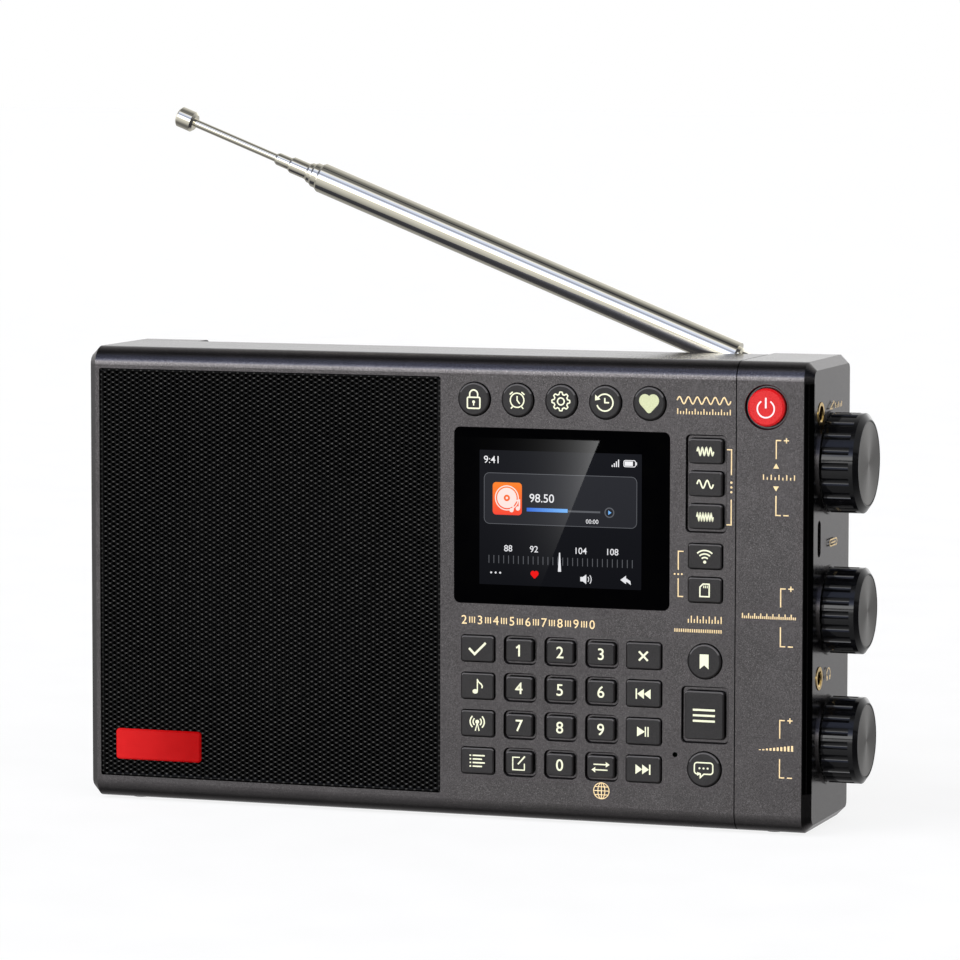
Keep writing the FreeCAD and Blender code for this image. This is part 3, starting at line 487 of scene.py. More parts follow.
def new_mesh(name, points, faces, material, smooth=False):
    """A mesh from points in millimetres."""
    mesh = bpy.data.meshes.new(name)
    mesh.from_pydata([Vector(point) * MM for point in points], [], faces)
    mesh.materials.append(material)
    mesh.polygons.foreach_set("use_smooth", [smooth] * len(mesh.polygons))
    mesh.update()
    return new_object(name, mesh)


def open_edges(faces):
    """The edges that only one face has, each running the way its face does."""
    found = {}
    for face in faces:
        for first, second in zip(face, face[1:] + face[:1]):
            if (second, first) in found:
                del found[(second, first)]
            else:
                found[(first, second)] = True
    return list(found)


def closed_sheet(faces, count):
    """A closed sheet's faces: the given ones, their backs, with points count later, and walls."""
    made = list(faces)
    made += [tuple(corner + count for corner in reversed(face)) for face in faces]
    made += [(second, first, first + count, second + count) for first, second in open_edges(faces)]
    return made


def arc(u, v, radius, start, stop, steps=24, squeeze=1.0):
    """Points round (u, v) from one angle to another in degrees; squeeze narrows it sideways."""
    points = []
    for step in range(steps + 1):
        angle = math.radians(start + (stop - start) * step / steps)
        points.append((u + radius * squeeze * math.cos(angle), v + radius * math.sin(angle)))
    return points


def rounded(u, v, width, height, radius):
    """Points of a rounded rectangle round (u, v), anticlockwise."""
    points = []
    for turn, (side, rise) in enumerate(((1, 1), (-1, 1), (-1, -1), (1, -1))):
        corner_u = u + side * (width / 2 - radius)
        corner_v = v + rise * (height / 2 - radius)
        points += arc(corner_u, corner_v, radius, turn * 90, turn * 90 + 90, 5)
    return points


def anticlockwise(points):
    """The outline's points in anticlockwise order."""
    area = sum(a[0] * b[1] - b[0] * a[1] for a, b in zip(points, points[1:] + points[:1]))
    return points if area > 0 else points[::-1]


class Print:
    """Marks on a flat face, as one mesh of thin closed tiles. u runs to the face's right and v up."""

    def __init__(self, origin, right=(1, 0, 0), base=0.0):
        self.origin = Vector(origin)
        self.right = Vector(right)
        self.up = Vector((0, 0, 1))
        self.out = self.right.cross(self.up)
        self.base = base
        self.height = base + INK
        self.points = []
        self.faces = []

    def add(self, flat, faces):
        """A closed tile from flat points and anticlockwise faces between them."""
        start = len(self.points)
        for height in (self.height, self.base):
            for u, v in flat:
                self.points.append(self.origin + self.right * u + self.up * v + self.out * height)
        for face in closed_sheet(faces, len(flat)):
            self.faces.append(tuple(start + corner for corner in face))
        self.height += LAYER
        return self

    def tile(self, points):
        return self.add(anticlockwise(points), [tuple(range(len(points)))])

    def bar(self, u0, v0, u1, v1):
        return self.tile([(u0, v0), (u1, v0), (u1, v1), (u0, v1)])

    def block(self, u, v, width, height):
        """A bar round (u, v)."""
        return self.bar(u - width / 2, v - height / 2, u + width / 2, v + height / 2)

    def disc(self, u, v, radius, steps=24, squeeze=1.0):
        return self.tile(arc(u, v, radius, 0, 360, steps, squeeze)[:-1])

    def line(self, points, width, closed=False):
        """A stroke of even width along points, with mitred corners."""
        if closed and math.dist(points[0], points[-1]) < width / 50:
            points = points[:-1]
        points = [Vector(point) for point in points]
        count = len(points)
        left, right = [], []
        for number, point in enumerate(points):
            ways = []
            if closed or number:
                ways.append((point - points[number - 1]).normalized())
            if closed or number < count - 1:
                ways.append((points[(number + 1) % count] - point).normalized())
            along = sum(ways, Vector((0, 0))).normalized()
            reach = width / 2 / max(SHARPEST_MITRE, along.dot(ways[0]))
            side = Vector((-along.y, along.x)) * reach
            left.append(tuple(point + side))
            right.append(tuple(point - side))
        faces = []
        for number in range(count if closed else count - 1):
            following = (number + 1) % count
            faces.append((count + number, count + following, following, number))
        return self.add(left + right, faces)

    def ring(self, u, v, radius, width, squeeze=1.0):
        return self.line(arc(u, v, radius, 0, 360, 40, squeeze), width, closed=True)

    def frame(self, u, v, width, height, radius, stroke):
        return self.line(rounded(u, v, width, height, radius), stroke, closed=True)

    def digits(self, text, u, v, height, weight=0.0):
        """Numbers in the plain built-in face, centred on (u, v)."""
        curve = bpy.data.curves.new("digits", "FONT")
        curve.body = text
        curve.align_x = "CENTER"
        curve.offset = weight
        holder = bpy.data.objects.new("digits", curve)
        mesh = bpy.data.meshes.new_from_object(holder)
        rises = [point.co.y for point in mesh.vertices]
        scale = height / (max(rises) - min(rises))
        middle = (max(rises) + min(rises)) / 2
        flat = [(u + point.co.x * scale, v + (point.co.y - middle) * scale) for point in mesh.vertices]
        self.add(flat, [tuple(face.vertices) for face in mesh.polygons])
        bpy.data.objects.remove(holder)
        bpy.data.curves.remove(curve)
        bpy.data.meshes.remove(mesh)
        return self

    def done(self, name, material, body="cabinet"):
        """The marks as one mesh, riding on a body."""
        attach(new_mesh(name, self.points, self.faces, material), body)


# ---- speaker grille

def fill_between(flat, faces, outline):
    """Triangles between a sheet of six-sided holes and its outline, whose points are added to flat."""
    web = set(open_edges(faces))
    inner = []
    for hole in range(0, len(flat), 6):
        for turn in range(6):
            edge = (hole + turn, hole + (turn + 1) % 6)
            back = edge[::-1]
            if edge in web or back in web:
                web.discard(edge)
                web.discard(back)
            else:
                inner.append(edge)
    start = len(flat)
    flat += outline
    rim = [(start + number, start + (number + 1) % len(outline)) for number in range(len(outline))]
    work = bmesh.new()
    corners = {}
    for edge in list(web) + inner + rim:
        for number in edge:
            if number not in corners:
                corners[number] = work.verts.new((*flat[number], 0))
        work.edges.new([corners[number] for number in edge])
    numbers = {corner: number for number, corner in corners.items()}
    filled = bmesh.ops.triangle_fill(work, use_beauty=True, edges=work.edges[:], normal=(0, 0, 1))
    made = []
    for part in filled["geom"]:
        if isinstance(part, bmesh.types.BMFace):
            face = tuple(numbers[corner] for corner in part.verts)
            made.append(face if part.normal.z > 0 else face[::-1])
    work.free()
    return made


def perforated_grille(material):
    """The sheet with its staggered six-sided holes, in the place of the plain CAD sheet."""
    low, high = box_mm("speaker_grille")
    column_0, step_x, row_0, columns, rows = grille_layout()
    flat = []
    holes = {}
    for column in range(columns):
        for row in range(rows):
            holes[(column, row)] = len(flat)
            middle_z = row_0 + (row + column % 2 / 2) * GRILLE_PITCH
            flat += arc(column_0 + column * step_x, middle_z, GRILLE_HOLE_R, 0, 300, 5)
    faces = []
    for here in holes:
        column, row = here
        above = (column, row + 1)
        upper = (column + 1, row + column % 2)
        lower = (column + 1, row + column % 2 - 1)
        # bridges and the triangles between them; a corner is a hole and the sixths of the way round it
        for corners in (((here, 1), (above, 5), (above, 4), (here, 2)),
                        ((here, 0), (upper, 4), (upper, 3), (here, 1)),
                        ((here, 5), (lower, 3), (lower, 2), (here, 0)),
                        ((here, 1), (upper, 3), (above, 5)),
                        ((here, 0), (lower, 2), (upper, 4))):
            if all(hole in holes for hole, turn in corners):
                faces.append(tuple(holes[hole] + turn for hole, turn in corners))
    middle_x, middle_z = (low.x + high.x) / 2, (low.z + high.z) / 2
    outline = rounded(middle_x, middle_z, high.x - low.x, high.z - low.z, GRILLE_CORNER)
    faces += fill_between(flat, faces, outline)
    points = [(x, depth, z) for depth in (low.y, high.y) for x, z in flat]
    sheet = closed_sheet(faces, len(flat))
    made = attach(new_mesh("speaker_grille_perforated", points, sheet, material, smooth=True), "cabinet")
    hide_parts("speaker_grille")


# ---- knob faces

def knob_face(name, material):
    """A slightly dished metal disc turned to sit in the recess of a knob's end."""
    low, high = box_mm(name)
    middle = middle_mm(name)
    share, less, back = FACE_INSET
    radius = (high.z - low.z) / 2 * share - less
    outer = high.x - back
    profile = ((0.0, 0.1), (0.3, 0.06), (0.7, 0.05), (radius - 0.4, 0.01), (radius - 0.15, 0.0),
               (radius, 0.12), (radius, 0.22), (0.0, 0.22))
    points, rings = [], []
    for ring_r, depth in profile:
        ring = arc(middle.y, middle.z, ring_r, 0, 360, FACE_TURNS)[:-1] if ring_r else [(middle.y, middle.z)]
        rings.append([len(points) + turn % len(ring) for turn in range(FACE_TURNS + 1)])
        points += [(outer - depth, y, z) for y, z in ring]
    faces = []
    for first, second in zip(rings, rings[1:]):
        for here in range(FACE_TURNS):
            corners = (first[here], second[here], second[here + 1], first[here + 1])
            faces.append(tuple(dict.fromkeys(corners)))
    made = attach(new_mesh(name + "_face", points, faces, material, smooth=True), name)
    made.modifiers.new("crisp rim", "EDGE_SPLIT").split_angle = math.radians(40)


# ---- pictograms on the keys

def padlock(mark):
    mark.frame(0, -1.0, 3.6, 3.0, 0.35, 0.4)
    mark.line([(-1.15, 0.5)] + arc(0, 1.35, 1.15, 180, 0, 16) + [(1.15, 0.5)], 0.4)
    mark.disc(0, -0.75, 0.42)
    mark.bar(-0.17, -1.75, 0.17, -0.75)


def alarm_clock(mark):
    mark.ring(0, 0, 1.95, 0.36)
    mark.line([(0, 1.15), (0, 0), (0.75, -0.95)], 0.36)
    for side in (-1, 1):
        mark.line([(side * 1.25, 2.25), (side * 2.1, 1.55)], 0.38)
        mark.line([(side * 1.3, -1.75), (side * 1.75, -2.3)], 0.34)


def gear(mark):
    teeth = []
    for step in range(96):
        angle = 2 * math.pi * step / 96
        radius = 2.25 + 0.3 * math.tanh(3 * math.cos(8 * angle))
        teeth.append((radius * math.sin(angle), radius * math.cos(angle)))
    mark.line(teeth, 0.36, closed=True)
    mark.ring(0, 0, 0.95, 0.38)


def history(mark):
    mark.line(arc(0, 0, 2.3, 150, -162, 36), 0.4)
    mark.line([(0, 1.25), (0, 0), (1.2, 0)], 0.4)
    mark.tile([(-2.75, 2.1), (-2.75, 0.5), (-1.2, 0.85)])


def heart(mark, size=5.6):
    """Two half discs on a square that stands on a rounded corner."""
    side = size / 1.707
    lobe = side * 0.354
    outline = arc(lobe, lobe, side / 2, -45, 135, 16)
    outline += arc(-lobe, lobe, side / 2, 45, 225, 16)
    outline += arc(0, -0.36 * side, side * 0.25, 225, 315, 8)
    points = [point for number, point in enumerate(outline) if math.dist(point, outline[number - 1]) > 0.01]
    mark.tile([(u, 1.07 * v - 0.12 * side) for u, v in points])


def power(mark):
    mark.line(arc(0, -0.35, 2.35, 122, 418, 40), 0.42)
    mark.bar(-0.24, -0.2, 0.24, 2.65)


def tick(mark):
    mark.line([(-2.4, 0.1), (-0.8, -1.5), (2.4, 1.7)], 0.62)


def cross(mark):
    for rise in (-1.25, 1.25):
        mark.line([(-1.25, rise), (1.25, -rise)], 0.55)


def note(mark):
    mark.disc(-0.6, -1.45, 0.62, squeeze=1.25)
    mark.line([(0.02, -1.4), (0.02, 2.0)], 0.32)
    mark.line([(0.02, 1.8), (0.35, 1.2), (1.1, 0.65), (1.45, 0.05), (1.3, -0.5)], 0.38)


def mast(mark):
    mark.disc(0, 0.5, 0.55)
    mark.line([(-0.55, -2.0), (0, 0.2), (0.55, -2.0)], 0.34)
    for side in (0, 180):
        for radius, steps in ((1.2, 10), (2.05, 14)):
            mark.line(arc(0, 0.5, radius, side - 48, side + 48, steps), 0.38)


def page(mark):
    for level, end in ((1.5, 2.2), (0.5, 1.4), (-0.5, 2.2), (-1.5, 1.4)):
        mark.bar(-2.2, level - 0.2, -1.75, level + 0.2)
        mark.bar(-1.3, level - 0.2, end, level + 0.2)


def edit(mark):
    mark.line([(0.3, 1.55), (-1.75, 1.55), (-1.75, -1.9), (1.6, -1.9), (1.6, -0.1)], 0.32)
    mark.line([(-0.25, -0.35), (1.75, 1.9)], 0.42)


def swap(mark):
    for side in (-1, 1):
        level = side * 0.75
        mark.block(0, level, 4.0, 0.34)
        mark.tile([(side * 2.6, level), (side * 1.5, level + 0.75), (side * 1.5, level - 0.75)])


def skip(mark, side):
    """Two arrowheads against a bar; side is 1 to the right and -1 to the left."""
    for start in (-2.1, -0.2):
        mark.tile([(side * start, 1.35), (side * start, -1.35), (side * (start + 1.9), 0)])
    mark.bar(side * 1.75, -1.4, side * 2.15, 1.4)


def play_pause(mark):
    mark.tile([(-1.7, 1.35), (-1.7, -1.35), (0.5, 0)])
    for left in (0.5, 1.25):
        mark.bar(left, -1.35, left + 0.35, 1.35)


def wave(mark, cycles, stroke=0.4, reach=2.3, swing=1.05, u=0.0, v=0.0):
    """A sine wave round (u, v); reach and swing are half its width and height."""
    points = []
    for step in range(cycles * 16 + 1):
        share = step / (cycles * 16)
        points.append((u + reach * (2 * share - 1), v + swing * math.sin(2 * math.pi * cycles * share)))
    mark.line(points, stroke)


def wireless(mark):
    mark.disc(0, -1.45, 0.42)
    for radius in (1.25, 2.2, 3.15):
        mark.line(arc(0, -1.45, radius, 48, 132, 14), 0.4)


def memory_card(mark):
    mark.line([(-1.3, -1.7), (1.3, -1.7), (1.3, 1.7), (-0.45, 1.7), (-1.3, 0.85)], 0.36, closed=True)
    for left in (-0.35, 0.15, 0.65):
        mark.bar(left, 0.6, left + 0.25, 1.3)


def bookmark(mark):
    mark.tile([(-1.25, 2.0), (-1.25, -2.0), (0, -0.95), (1.25, -2.0), (1.25, 2.0)])


def menu(mark):
    for level in (-1.5, 0, 1.5):
        mark.block(0, level, 6.2, 0.56)


def speech(mark):
    bubble = rounded(0, 0.35, 5.2, 3.1, 0.8)
    mark.line([(-0.9, -1.2), (-0.9, -2.15), (0.1, -1.2)] + bubble[18:] + bubble[:18] + [(-1.8, -1.2)], 0.36,
              closed=True)
    for u in (-1.15, 0, 1.15):
        mark.disc(u, 0.35, 0.28, 12)


PICTOGRAMS = {
    "button_lock": padlock, "button_alarm": alarm_clock, "button_settings": gear,
    "button_history": history, "button_favourite": heart, "power_button": power,
    "key_confirm": tick, "key_clear": cross, "key_music": note, "key_broadcast": mast,
    "key_list": page, "key_edit": edit, "key_mode": swap, "key_play_pause": play_pause,
    "key_wireless": wireless, "key_card": memory_card, "key_bookmark": bookmark,
    "key_menu": menu, "key_language": speech,
    "key_previous": lambda mark: skip(mark, -1),
    "key_next": lambda mark: skip(mark, 1),
    "key_band_1": lambda mark: wave(mark, 4),
    "key_band_2": lambda mark: wave(mark, 2),
    "key_band_3": lambda mark: wave(mark, 6, 0.32),
}


def key_legend(name, colour):
    """The mark on one key: its own number, or a pictogram."""
    middle = middle_mm(name)
    mark = Print((middle.x, box_mm(name)[0].y, middle.z))
    if name in PICTOGRAMS:
        PICTOGRAMS[name](mark)
    else:
        mark.digits(name[-1], 0, 0, 3.2, 0.006)
    if name == "key_1":
        mark.line([(-0.8, 0.7), (0.05, 1.4)], 0.45)
    mark.done(name + "_legend", colour, name)


# ---- gold marks on the cabinet

def bracket(mark, u, v_end, v_open, arm):
    """An upright stroke at u, with a short arm at its end v_end."""
    mark.line([(u + arm, v_end), (u, v_end), (u, v_open)], STROKE)


def ticks(mark, u0, u1, v, count, heights, width=STROKE):
    """A row of upright ticks whose heights repeat."""
    for number in range(count):
        u = u0 + (u1 - u0) * number / (count - 1)
        mark.bar(u - width / 2, v, u + width / 2, v + heights[number % len(heights)])


def knob_marks(mark, u, v, upper, lower):
    """Plus above and minus below on brackets, whose ends have the heights upper and lower."""
    for v_end, v_open in (upper, lower):
        bracket(mark, u, v + v_end, v + v_open, 1.35)
    for rise, width, height in ((upper[0], 1.4, STROKE), (upper[0], STROKE, 1.4), (lower[0], 1.4, STROKE)):
        mark.block(u + 2.8, v + rise, width, height)


def globe(mark, u, v, radius, stroke=0.22):
    for squeeze in (1.0, 0.45):
        mark.ring(u, v, radius, stroke, squeeze)
    mark.block(u, v, stroke, 2 * radius)
    for up in (-0.5, 0, 0.5):
        mark.block(u, v + up * radius, 2 * radius * math.sqrt(1 - up * up), stroke)


def panel_marks(gold):
    """Brackets, scales and the globe on the front housing."""
    mark = Print((0, FRONT, 0))
    # a plain numbered scale between the window and the keypad
    scale_v = window_low.z - 5.8
    for number, digit in enumerate("234567890"):
        u = window_low.x + 2.8 + number * 4.6
        mark.digits(digit, u, scale_v + 1.05, 2.4, 0.003)
        if digit != "0":
            ticks(mark, u + 1.6, u + 3.0, scale_v + 0.2, 3, (1.7,))
    # a wave over a row of ticks, right of the round buttons
    beside, level = box_mm("button_favourite")[1].x + 2.5, middle_mm("button_favourite").z
    wave(mark, 6, 0.34, 7.5, 0.95, beside + 7.5, level + 1.15)
    ticks(mark, beside + 0.15, beside + 14.85, level - 2.6, 19, (1.5, 0.8, 0.8))
    # rows of ticks above the bookmark key
    low, high = box_mm("key_bookmark")
    ticks(mark, low.x + 0.6, high.x - 0.9, high.z + 5.0, 12, (1.0, 1.9))
    ticks(mark, low.x - 3.2, high.x - 0.9, high.z + 2.4, 22, (0.9,))
    # brackets and dots at the band keys and at the two source keys
    for keys, u, arm, ends, dot, step_u, step_v, drop in (
            (("key_band_1", "key_band_3"), box_mm("key_band_1")[1].x + 1.7, -1.3,
             ((0.6, -6.2), (-2.0, 4.8)), 0.3, 0, 1.3, 0.7),
            (("key_wireless", "key_card"), box_mm("key_wireless")[0].x - 2.3, 1.45,
             ((1.15, -3.9), (-2.0, 2.9)), 0.25, 1.0, 0, 0.5)):
        levels = [middle_mm(key).z for key in keys]
        for level, (v_end, v_open) in zip(levels, ends):
            bracket(mark, u, level + v_end, level + v_open, arm)
        for step in (-1, 0, 1):
            mark.disc(u + step * step_u, sum(levels) / 2 + step * step_v - drop, dot, 12)
    globe(mark, middle_mm("key_mode").x, box_mm("key_mode")[0].z - 3.2, 2.2)
    mark.done("panel_marks", gold)


def end_marks(gold):
    """Marks beside the three knobs, on the end section's front."""
    mark = Print((0, FRONT, 0))
    upright = RIGHT - 8.85
    coarse, fine, volume = (middle_mm(name).z for name in KNOBS)
    left = upright - 1.5
    knob_marks(mark, left, coarse, (7.15, 2.15), (-13.0, -7.75))
    for foot, tip in ((-0.4, 0.95), (-5.2, -6.55)):
        mark.tile([(left - 0.8, coarse + foot), (left + 0.8, coarse + foot), (left, coarse + tip)])
    ticks(mark, left - 3.5, left + 5.1, coarse - 3.5, 9, (1.4, 0.7))
    knob_marks(mark, upright, fine, (7.4, 2.4), (-8.2, -2.95))
    ticks(mark, upright - 10.6, upright + 4.1, fine - 0.9, 27, (1.4, 0.7, 0.7))
    knob_marks(mark, upright, volume, (7.2, 2.3), (-8.35, -3.3))
    for number in range(10):
        u = upright - 5.8 + number
        mark.bar(u, volume - 1.1, u + 0.55, volume - 0.9 + 0.15 * number)
    mark.done("end_marks", gold)


def socket_marks(gold):
    """Small pictograms beside the sockets on the right-hand end."""
    mark = Print((RIGHT, 0, 0), right=(0, 1, 0))
    low, high = box_mm("phone_jacks")
    beside = high.y + 4.0
    upper_v, usb_v, lower_v = high.z - 1.7, middle_mm("usb_socket").z - 2.0, low.z + 3.4
    mark.line([(beside + 1.0, upper_v - 0.6), (beside + 4.2, upper_v + 0.7)], 0.45)
    mark.disc(beside + 4.3, upper_v + 0.75, 0.45, 12)
    mark.bar(beside, upper_v - 1.1, beside + 3.4, upper_v - 0.7)
    ticks(mark, beside + 6.0, beside + 12.6, upper_v - 1.0, 5, (1.5, 0.9), 0.7)
    mark.frame(beside + 5.0, usb_v, 7.6, 1.7, 0.8, 0.4)
    mark.block(beside + 5.0, usb_v, 4.4, 0.4)
    mark.line([(beside - 1.0, lower_v - 0.7)] + arc(beside + 0.9, lower_v, 1.9, 180, 0, 14)
              + [(beside + 2.8, lower_v - 0.7)], 0.4)
    for side in (-0.9, 1.8):
        mark.bar(beside + side, lower_v - 1.3, beside + side + 0.9, lower_v - 0.1)
    mark.done("socket_marks", gold)


# ---- the lit screen

def screen():
    """The display's picture: clock, card with an icon and a bar, tuning scale, small icons."""
    low, high = box_mm("display_module")
    left, bottom = low.x + 2.5, low.z + 4.0
    width, top = high.x - 2.5 - left, high.z - 2.5 - bottom

    def layer(number):
        """Marks that stand on the layers before."""
        return Print((left, FRONT, bottom), base=SCREEN_LAYERS[number])

    def show(mark, name, dark, light, low=window_low.z, high=window_high.z, axis=2):
        mark.done("screen_" + name, lit("screen_" + name, dark, light, low, high, axis))

    back = layer(0).tile(rounded(width / 2, top / 2, width, top, 0.2))
    show(back, "back", (14, 15, 19), (27, 28, 33))
    card = (width / 2, top - 13.2, width - 2.7, 13.9, 1.5)
    show(layer(1).tile(rounded(*card)), "card", (34, 35, 40), (47, 48, 53))

    edge = layer(2).frame(*card, 0.16)
    ticks(edge, 2.75, width - 2.55, 5.9, 30, (2.2,), 0.2)
    edge.line([(25.4, top - 16.1), (34.6, top - 16.1)], 0.5)
    edge.ring(width - 9.1, top - 16.1, 1.25, 0.3)
    show(edge, "lines", (84, 86, 90), (104, 106, 112))

    white = layer(3)
    for text, u, v, tall, weight in (
            ("9:41", 3.6, top - 2.6, 2.0, 0.002), ("98.50", 17.9, top - 12.8, 2.3, 0.004),
            ("00:00", width - 14.0, top - 18.7, 1.15, 0.0)):
        white.digits(text, u, v, tall, weight)
    for text, u in (("88", 8.3), ("92", 15.7), ("104", 29.0), ("108", 38.0)):
        white.digits(text, u, 10.1, 1.75, 0.003)
    ticks(white, width - 8.35, width - 6.55, top - 3.6, 4, (0.5, 1.0, 1.5, 2.0))
    white.frame(width - 3.4, top - 2.6, 3.3, 1.7, 0.4, 0.2)
    white.bar(width - 4.8, top - 3.2, width - 2.5, top - 2.0)
    white.bar(width - 1.6, top - 3.0, width - 1.35, top - 2.2)
    white.tile([(22.6, 4.2), (23.5, 4.2), (23.2, 9.4), (22.9, 9.4)])
    for u in (3.4, 4.7, 6.0):
        white.disc(u, 3.3, 0.28, 12)
    white.tile([(29.0, 3.0), (29.0, 1.8), (29.7, 1.8), (30.7, 1.1), (30.7, 3.7), (29.7, 3.0)])
    for radius in (1.1, 1.8):
        white.line(arc(30.3, 2.4, radius, -38, 38, 8), 0.22)
    white.tile([(40.4, 2.6), (42.0, 3.8), (42.0, 3.1), (43.2, 2.4), (43.4, 1.3), (42.4, 2.0), (42.0, 2.1),
                (42.0, 1.5)])
    show(white, "white", (225, 226, 230), (250, 250, 252))

    icon = layer(3).tile(rounded(8.0, top - 13.2, 8.4, 8.9, 1.0))
    show(icon, "icon", (250, 62, 58), (255, 140, 46), bottom + top - 17.6, bottom + top - 8.8)
    art = layer(4)
    art.ring(7.9, top - 13.0, 3.3, 0.3)
    art.ring(7.9, top - 13.0, 1.85, 1.9)
    art.disc(7.9, top - 13.0, 0.35, 14)
    art.line([(9.7, top - 16.2), (9.7, top - 13.9), (11.5, top - 13.5), (11.5, top - 15.7)], 0.42)
    for u, v in ((9.25, top - 16.3), (11.05, top - 15.8)):
        art.disc(u, v, 0.6, 14)
    show(art, "icon_art", (255, 222, 214), (255, 240, 234))

    blue = layer(3).bar(13.6, top - 16.5, 25.3, top - 15.5)
    blue.tile([(width - 9.4, top - 16.7), (width - 8.5, top - 16.1), (width - 9.4, top - 15.5)])
    show(blue, "blue", (44, 96, 214), (124, 190, 252), left + 13.6, left + 25.3, axis=0)
    red = Print((left + 15.9, FRONT, bottom + 3.1), base=SCREEN_LAYERS[3])
    heart(red, 2.3)
    show(red, "red", (236, 20, 20), (250, 36, 30))


# ---- studio

def ramp(made, angle, stops):
    """Brightness by angle in degrees, from (angle, brightness) pairs."""
    low, high = stops[0][0], stops[-1][0]
    found = made.node("ValToRGB", made.share(angle, low, high))
    elements = found.node.color_ramp.elements
    for place, _ in stops[1:-1]:
        elements.new((place - low) / (high - low))
    for element, (_, brightness) in zip(elements, stops):
        element.color = (brightness, brightness, brightness, 1)
    return found


def world():
    """White for the camera; for everything else a studio of bright bands with dark gaps between."""
    studio = bpy.data.worlds.new("studio")
    bpy.context.scene.world = studio
    studio.use_nodes = True
    studio.node_tree.nodes.clear()
    made = Nodes(studio.node_tree)
    way = [made.part(made.node("TexCoord", output="Generated"), axis) for axis in range(3)]
    rise = made.product(made.maths("ARCSINE", way[2]), math.degrees(1))
    turn = made.product(made.maths("ARCTAN2", way[0], made.product(way[1], -1)), math.degrees(1))
    front = ramp(made, rise, ((-90, 0.05), (-60, 0.06), (-38, 0.08), (-30, 0.1), (-16, 0.14), (-9, 0.165),
                              (-4, 0.15), (0, 0.21), (4, 0.45), (6.5, 0.8), (7.5, 0.15), (9.5, 0.15),
                              (10.5, 1.0), (15, 1.0), (20, 0.6), (27, 0.3), (36, 0.09), (70, 0.034),
                              (90, 0.034)))
    behind = ramp(made, rise, ((-90, 0.06), (-30, 0.12), (-8, 0.115), (0, 0.21), (6, 0.32), (27, 0.15),
                               (53, 0.12), (72, 0.05), (90, 0.034)))
    high_box = ramp(made, rise, ((36, 0.0), (43, 0.17), (49, 0.2), (58, 0.2), (66, 0.0)))
    high_part = ramp(made, turn, ((-34, 0), (-14, 1), (50, 1), (70, 0)))
    front_share = ramp(made, turn, ((-180, 0), (-120, 0), (-85, 1), (85, 1), (120, 0), (180, 0)))
    side_dark = ramp(made, turn, ((-180, 1), (-140, 0.6), (-60, 0.3), (-38, 0.9), (20, 1), (38, 0.06),
                                  (98, 0.06), (125, 0.55), (160, 0.85), (180, 1)))
    blue_share = ramp(made, rise, ((-90, 0), (16, 0), (25, 1), (50, 1), (62, 0), (90, 0)))
    ahead = made.maths("ADD", made.product(high_box, high_part), front)
    both = made.maths("ADD", made.product(ahead, front_share),
                      made.product(behind, made.maths("SUBTRACT", 1.0, front_share)))
    tint = made.mix(made.product(blue_share, front_share), (1.0, 1.0, 1.0, 1.0), (0.62, 0.7, 1.0, 1.0))
    light = made.node("Background", tint, made.product(both, side_dark, STUDIO_LIGHT))
    white = made.node("Background", (1.0, 1.0, 1.0, 1.0))
    choice = made.node("MixShader", made.node("LightPath", output="Is Camera Ray"), light, white)
    made.put(choice, made.tree.nodes.new("ShaderNodeOutputWorld").inputs[0])


def lamp(name, kind, power, place, aim=(0, 0, 0), glossy=True, **settings):
    """A lamp at a place, aimed at a point."""
    data = bpy.data.lights.new(name, kind)
    data.energy = power
    for setting, value in settings.items():
        setattr(data, setting, value)
    made = new_object(name, data)
    made.location = Vector(place) * MM
    made.rotation_euler = (Vector(aim) - Vector(place)).to_track_quat("-Z", "Y").to_euler()
    made.visible_glossy = glossy
    made.visible_camera = False
    return made


def window_glare():
    """The edge of a soft light in the window's glass: a card that only the glass and the screen reflect.

    The card lies where the window's mirror image would be from the camera, so a place on the window and its
    place on the card are in a fixed proportion.
    """
    behind = camera_matrix().translation
    behind.y = 2 * FRONT - behind.y
    reach = (behind.y - FRONT + GLARE_CARD) / (behind.y - FRONT)
    low, high = (behind + (corner - behind) * reach for corner in (window_low, window_high))
    middle = (low + high) / 2
    card = lamp("glare_card", "AREA", 1.0, (middle.x, FRONT - GLARE_CARD, middle.z),
                (middle.x, FRONT, middle.z), shape="RECTANGLE", size=(high.x - low.x) * MM,
                size_y=(high.z - low.z) * MM)
    card.visible_diffuse = False
    card.data.use_shadow = False
    card.data.use_nodes = True
    made = Nodes(card.data.node_tree)
    spot = made.node("NewGeometry", output="Position")

    def on_window(axis):
        """A place on the card as millimetres on the window."""
        away = made.maths("SUBTRACT", made.part(spot, axis), behind[axis] * MM)
        return made.maths("ADD", made.product(away, 1 / (reach * MM)), behind[axis])

    rise = made.share(on_window(2), GLARE_FOOT.y, GLARE_TOP.y)
    edge = made.maths("ADD", made.product(rise, GLARE_TOP.x - GLARE_FOOT.x), GLARE_FOOT.x)
    left = made.maths("SUBTRACT", edge, on_window(0))
    fade = made.maths("EXPONENT", made.product(left, -1 / GLARE_FADE))
    shown = made.product(made.maths("GREATER_THAN", left, 0.0), made.maths("LESS_THAN", rise, 1.0))
    height = made.maths("POWER", made.maths("MAXIMUM", rise, 0.0), 2.0)
    made.put(made.product(fade, height, shown, GLARE_POWER), made.tree.nodes["Emission"].inputs["Strength"])
    seen = bpy.data.collections.new("glass")
    for entry in bpy.data.objects:
        if entry.name.startswith(("display_window", "screen_")):
            seen.objects.link(entry)
    card.light_linking.receiver_collection = seen


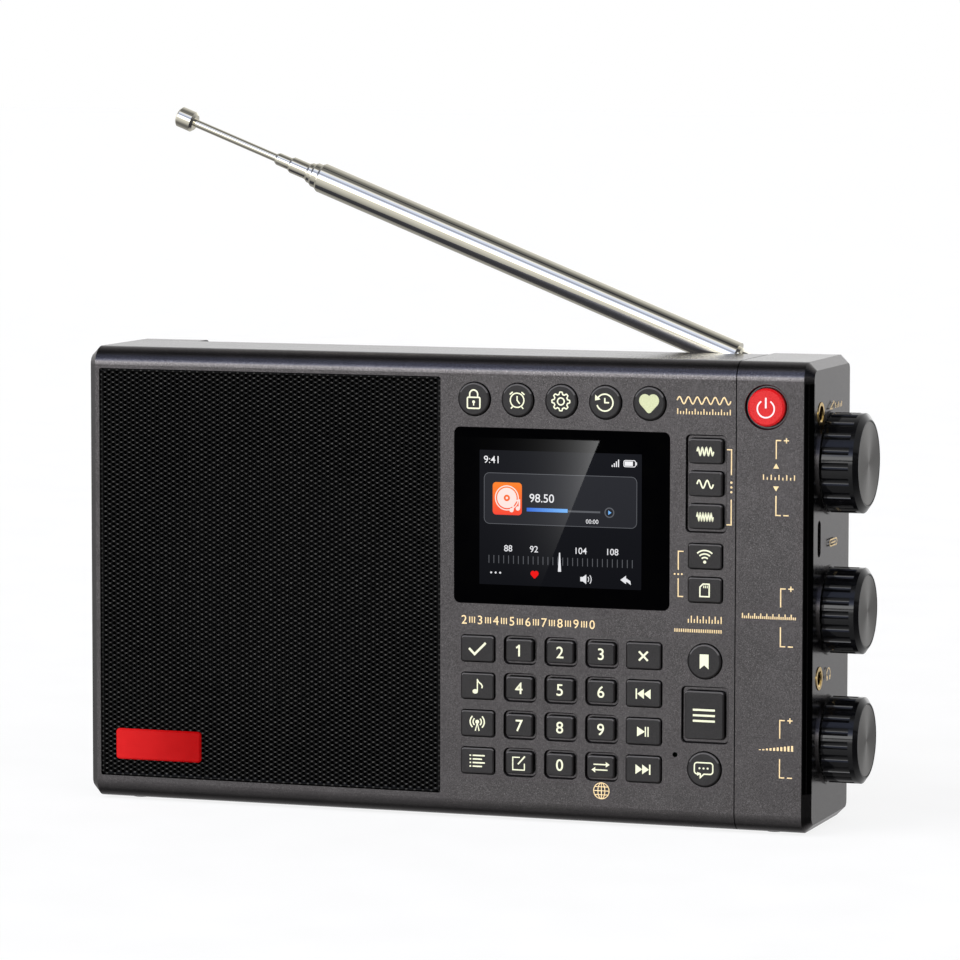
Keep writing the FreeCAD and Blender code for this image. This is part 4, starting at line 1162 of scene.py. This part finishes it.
def floor():
    """A wide pale floor, very slightly mottled."""
    pale = textured("floor_pale", (110, 110, 110), (118, 118, 118), 30.0, (0.8, 0.9), 0.02,
                    Specular_IOR_Level=0.0, Emission_Color=(1, 1, 1, 1), Emission_Strength=0.84)
    far = FLOOR_REACH
    corners = ((-far, -far, 0), (far, -far, 0), (far, far, 0), (-far, far, 0))
    sheet = new_mesh("floor", corners, [(0, 1, 2, 3)], pale.material)
    sheet.visible_glossy = False


def camera_matrix():
    """The camera's place and turn."""
    azimuth, elevation, roll = (math.radians(angle) for angle in CAMERA_TURN)
    turn = Matrix.Rotation(azimuth, 4, "Z") @ Matrix.Rotation(math.pi / 2 - elevation, 4, "X")
    turn = turn @ Matrix.Rotation(roll, 4, "Z")
    return Matrix.Translation(CAMERA_TARGET) @ turn @ Matrix.Translation((0, 0, CAMERA_DISTANCE))


def camera():
    """A long lens, a little to the right of the front and above it."""
    data = bpy.data.cameras.new("camera")
    data.lens = CAMERA_LENS
    data.sensor_width = SENSOR
    data.clip_start = 0.05
    made = new_object("camera", data)
    placed = camera_matrix()
    placed.translation *= MM
    made.matrix_world = placed
    bpy.context.scene.camera = made


# ---- the whole scene

by_slot = finishes()
for node in frame["nodes"].values():
    for entry in node.material_slots:
        entry.material = by_slot[slot_name(entry.material)]

perforated_grille(by_slot["grille_metal"])

spun = spun_metal()
for knob in KNOBS:
    knob_face(knob, spun)

cream_ink = ink("ink_cream", (214, 214, 182), (230, 230, 200))
inks = {
    "power_button": ink("ink_white", (220, 200, 200), (234, 218, 218)),
    "button_favourite": ink("ink_leaf", (180, 184, 142), (196, 200, 160)),
}
gold_ink = ink("ink_gold", (220, 190, 136), (242, 216, 168))
for body in frame["bodies"]:
    if body.startswith(("key_", "button_")) or body == "power_button":
        key_legend(body, inks.get(body, cream_ink))
panel_marks(gold_ink)
end_marks(gold_ink)
socket_marks(gold_ink)
screen()

world()
floor()
camera()
window_glare()
lamp("sun_soft", "SUN", 1.65, (-1200, -1000, 1200), glossy=False, angle=math.radians(50))
lamp("fill_soft", "SUN", 1.2, (1500, -900, 900), glossy=False, angle=math.radians(60))

bpy.context.scene.view_settings.view_transform = "Standard"
bpy.context.scene.view_settings.look = "None"
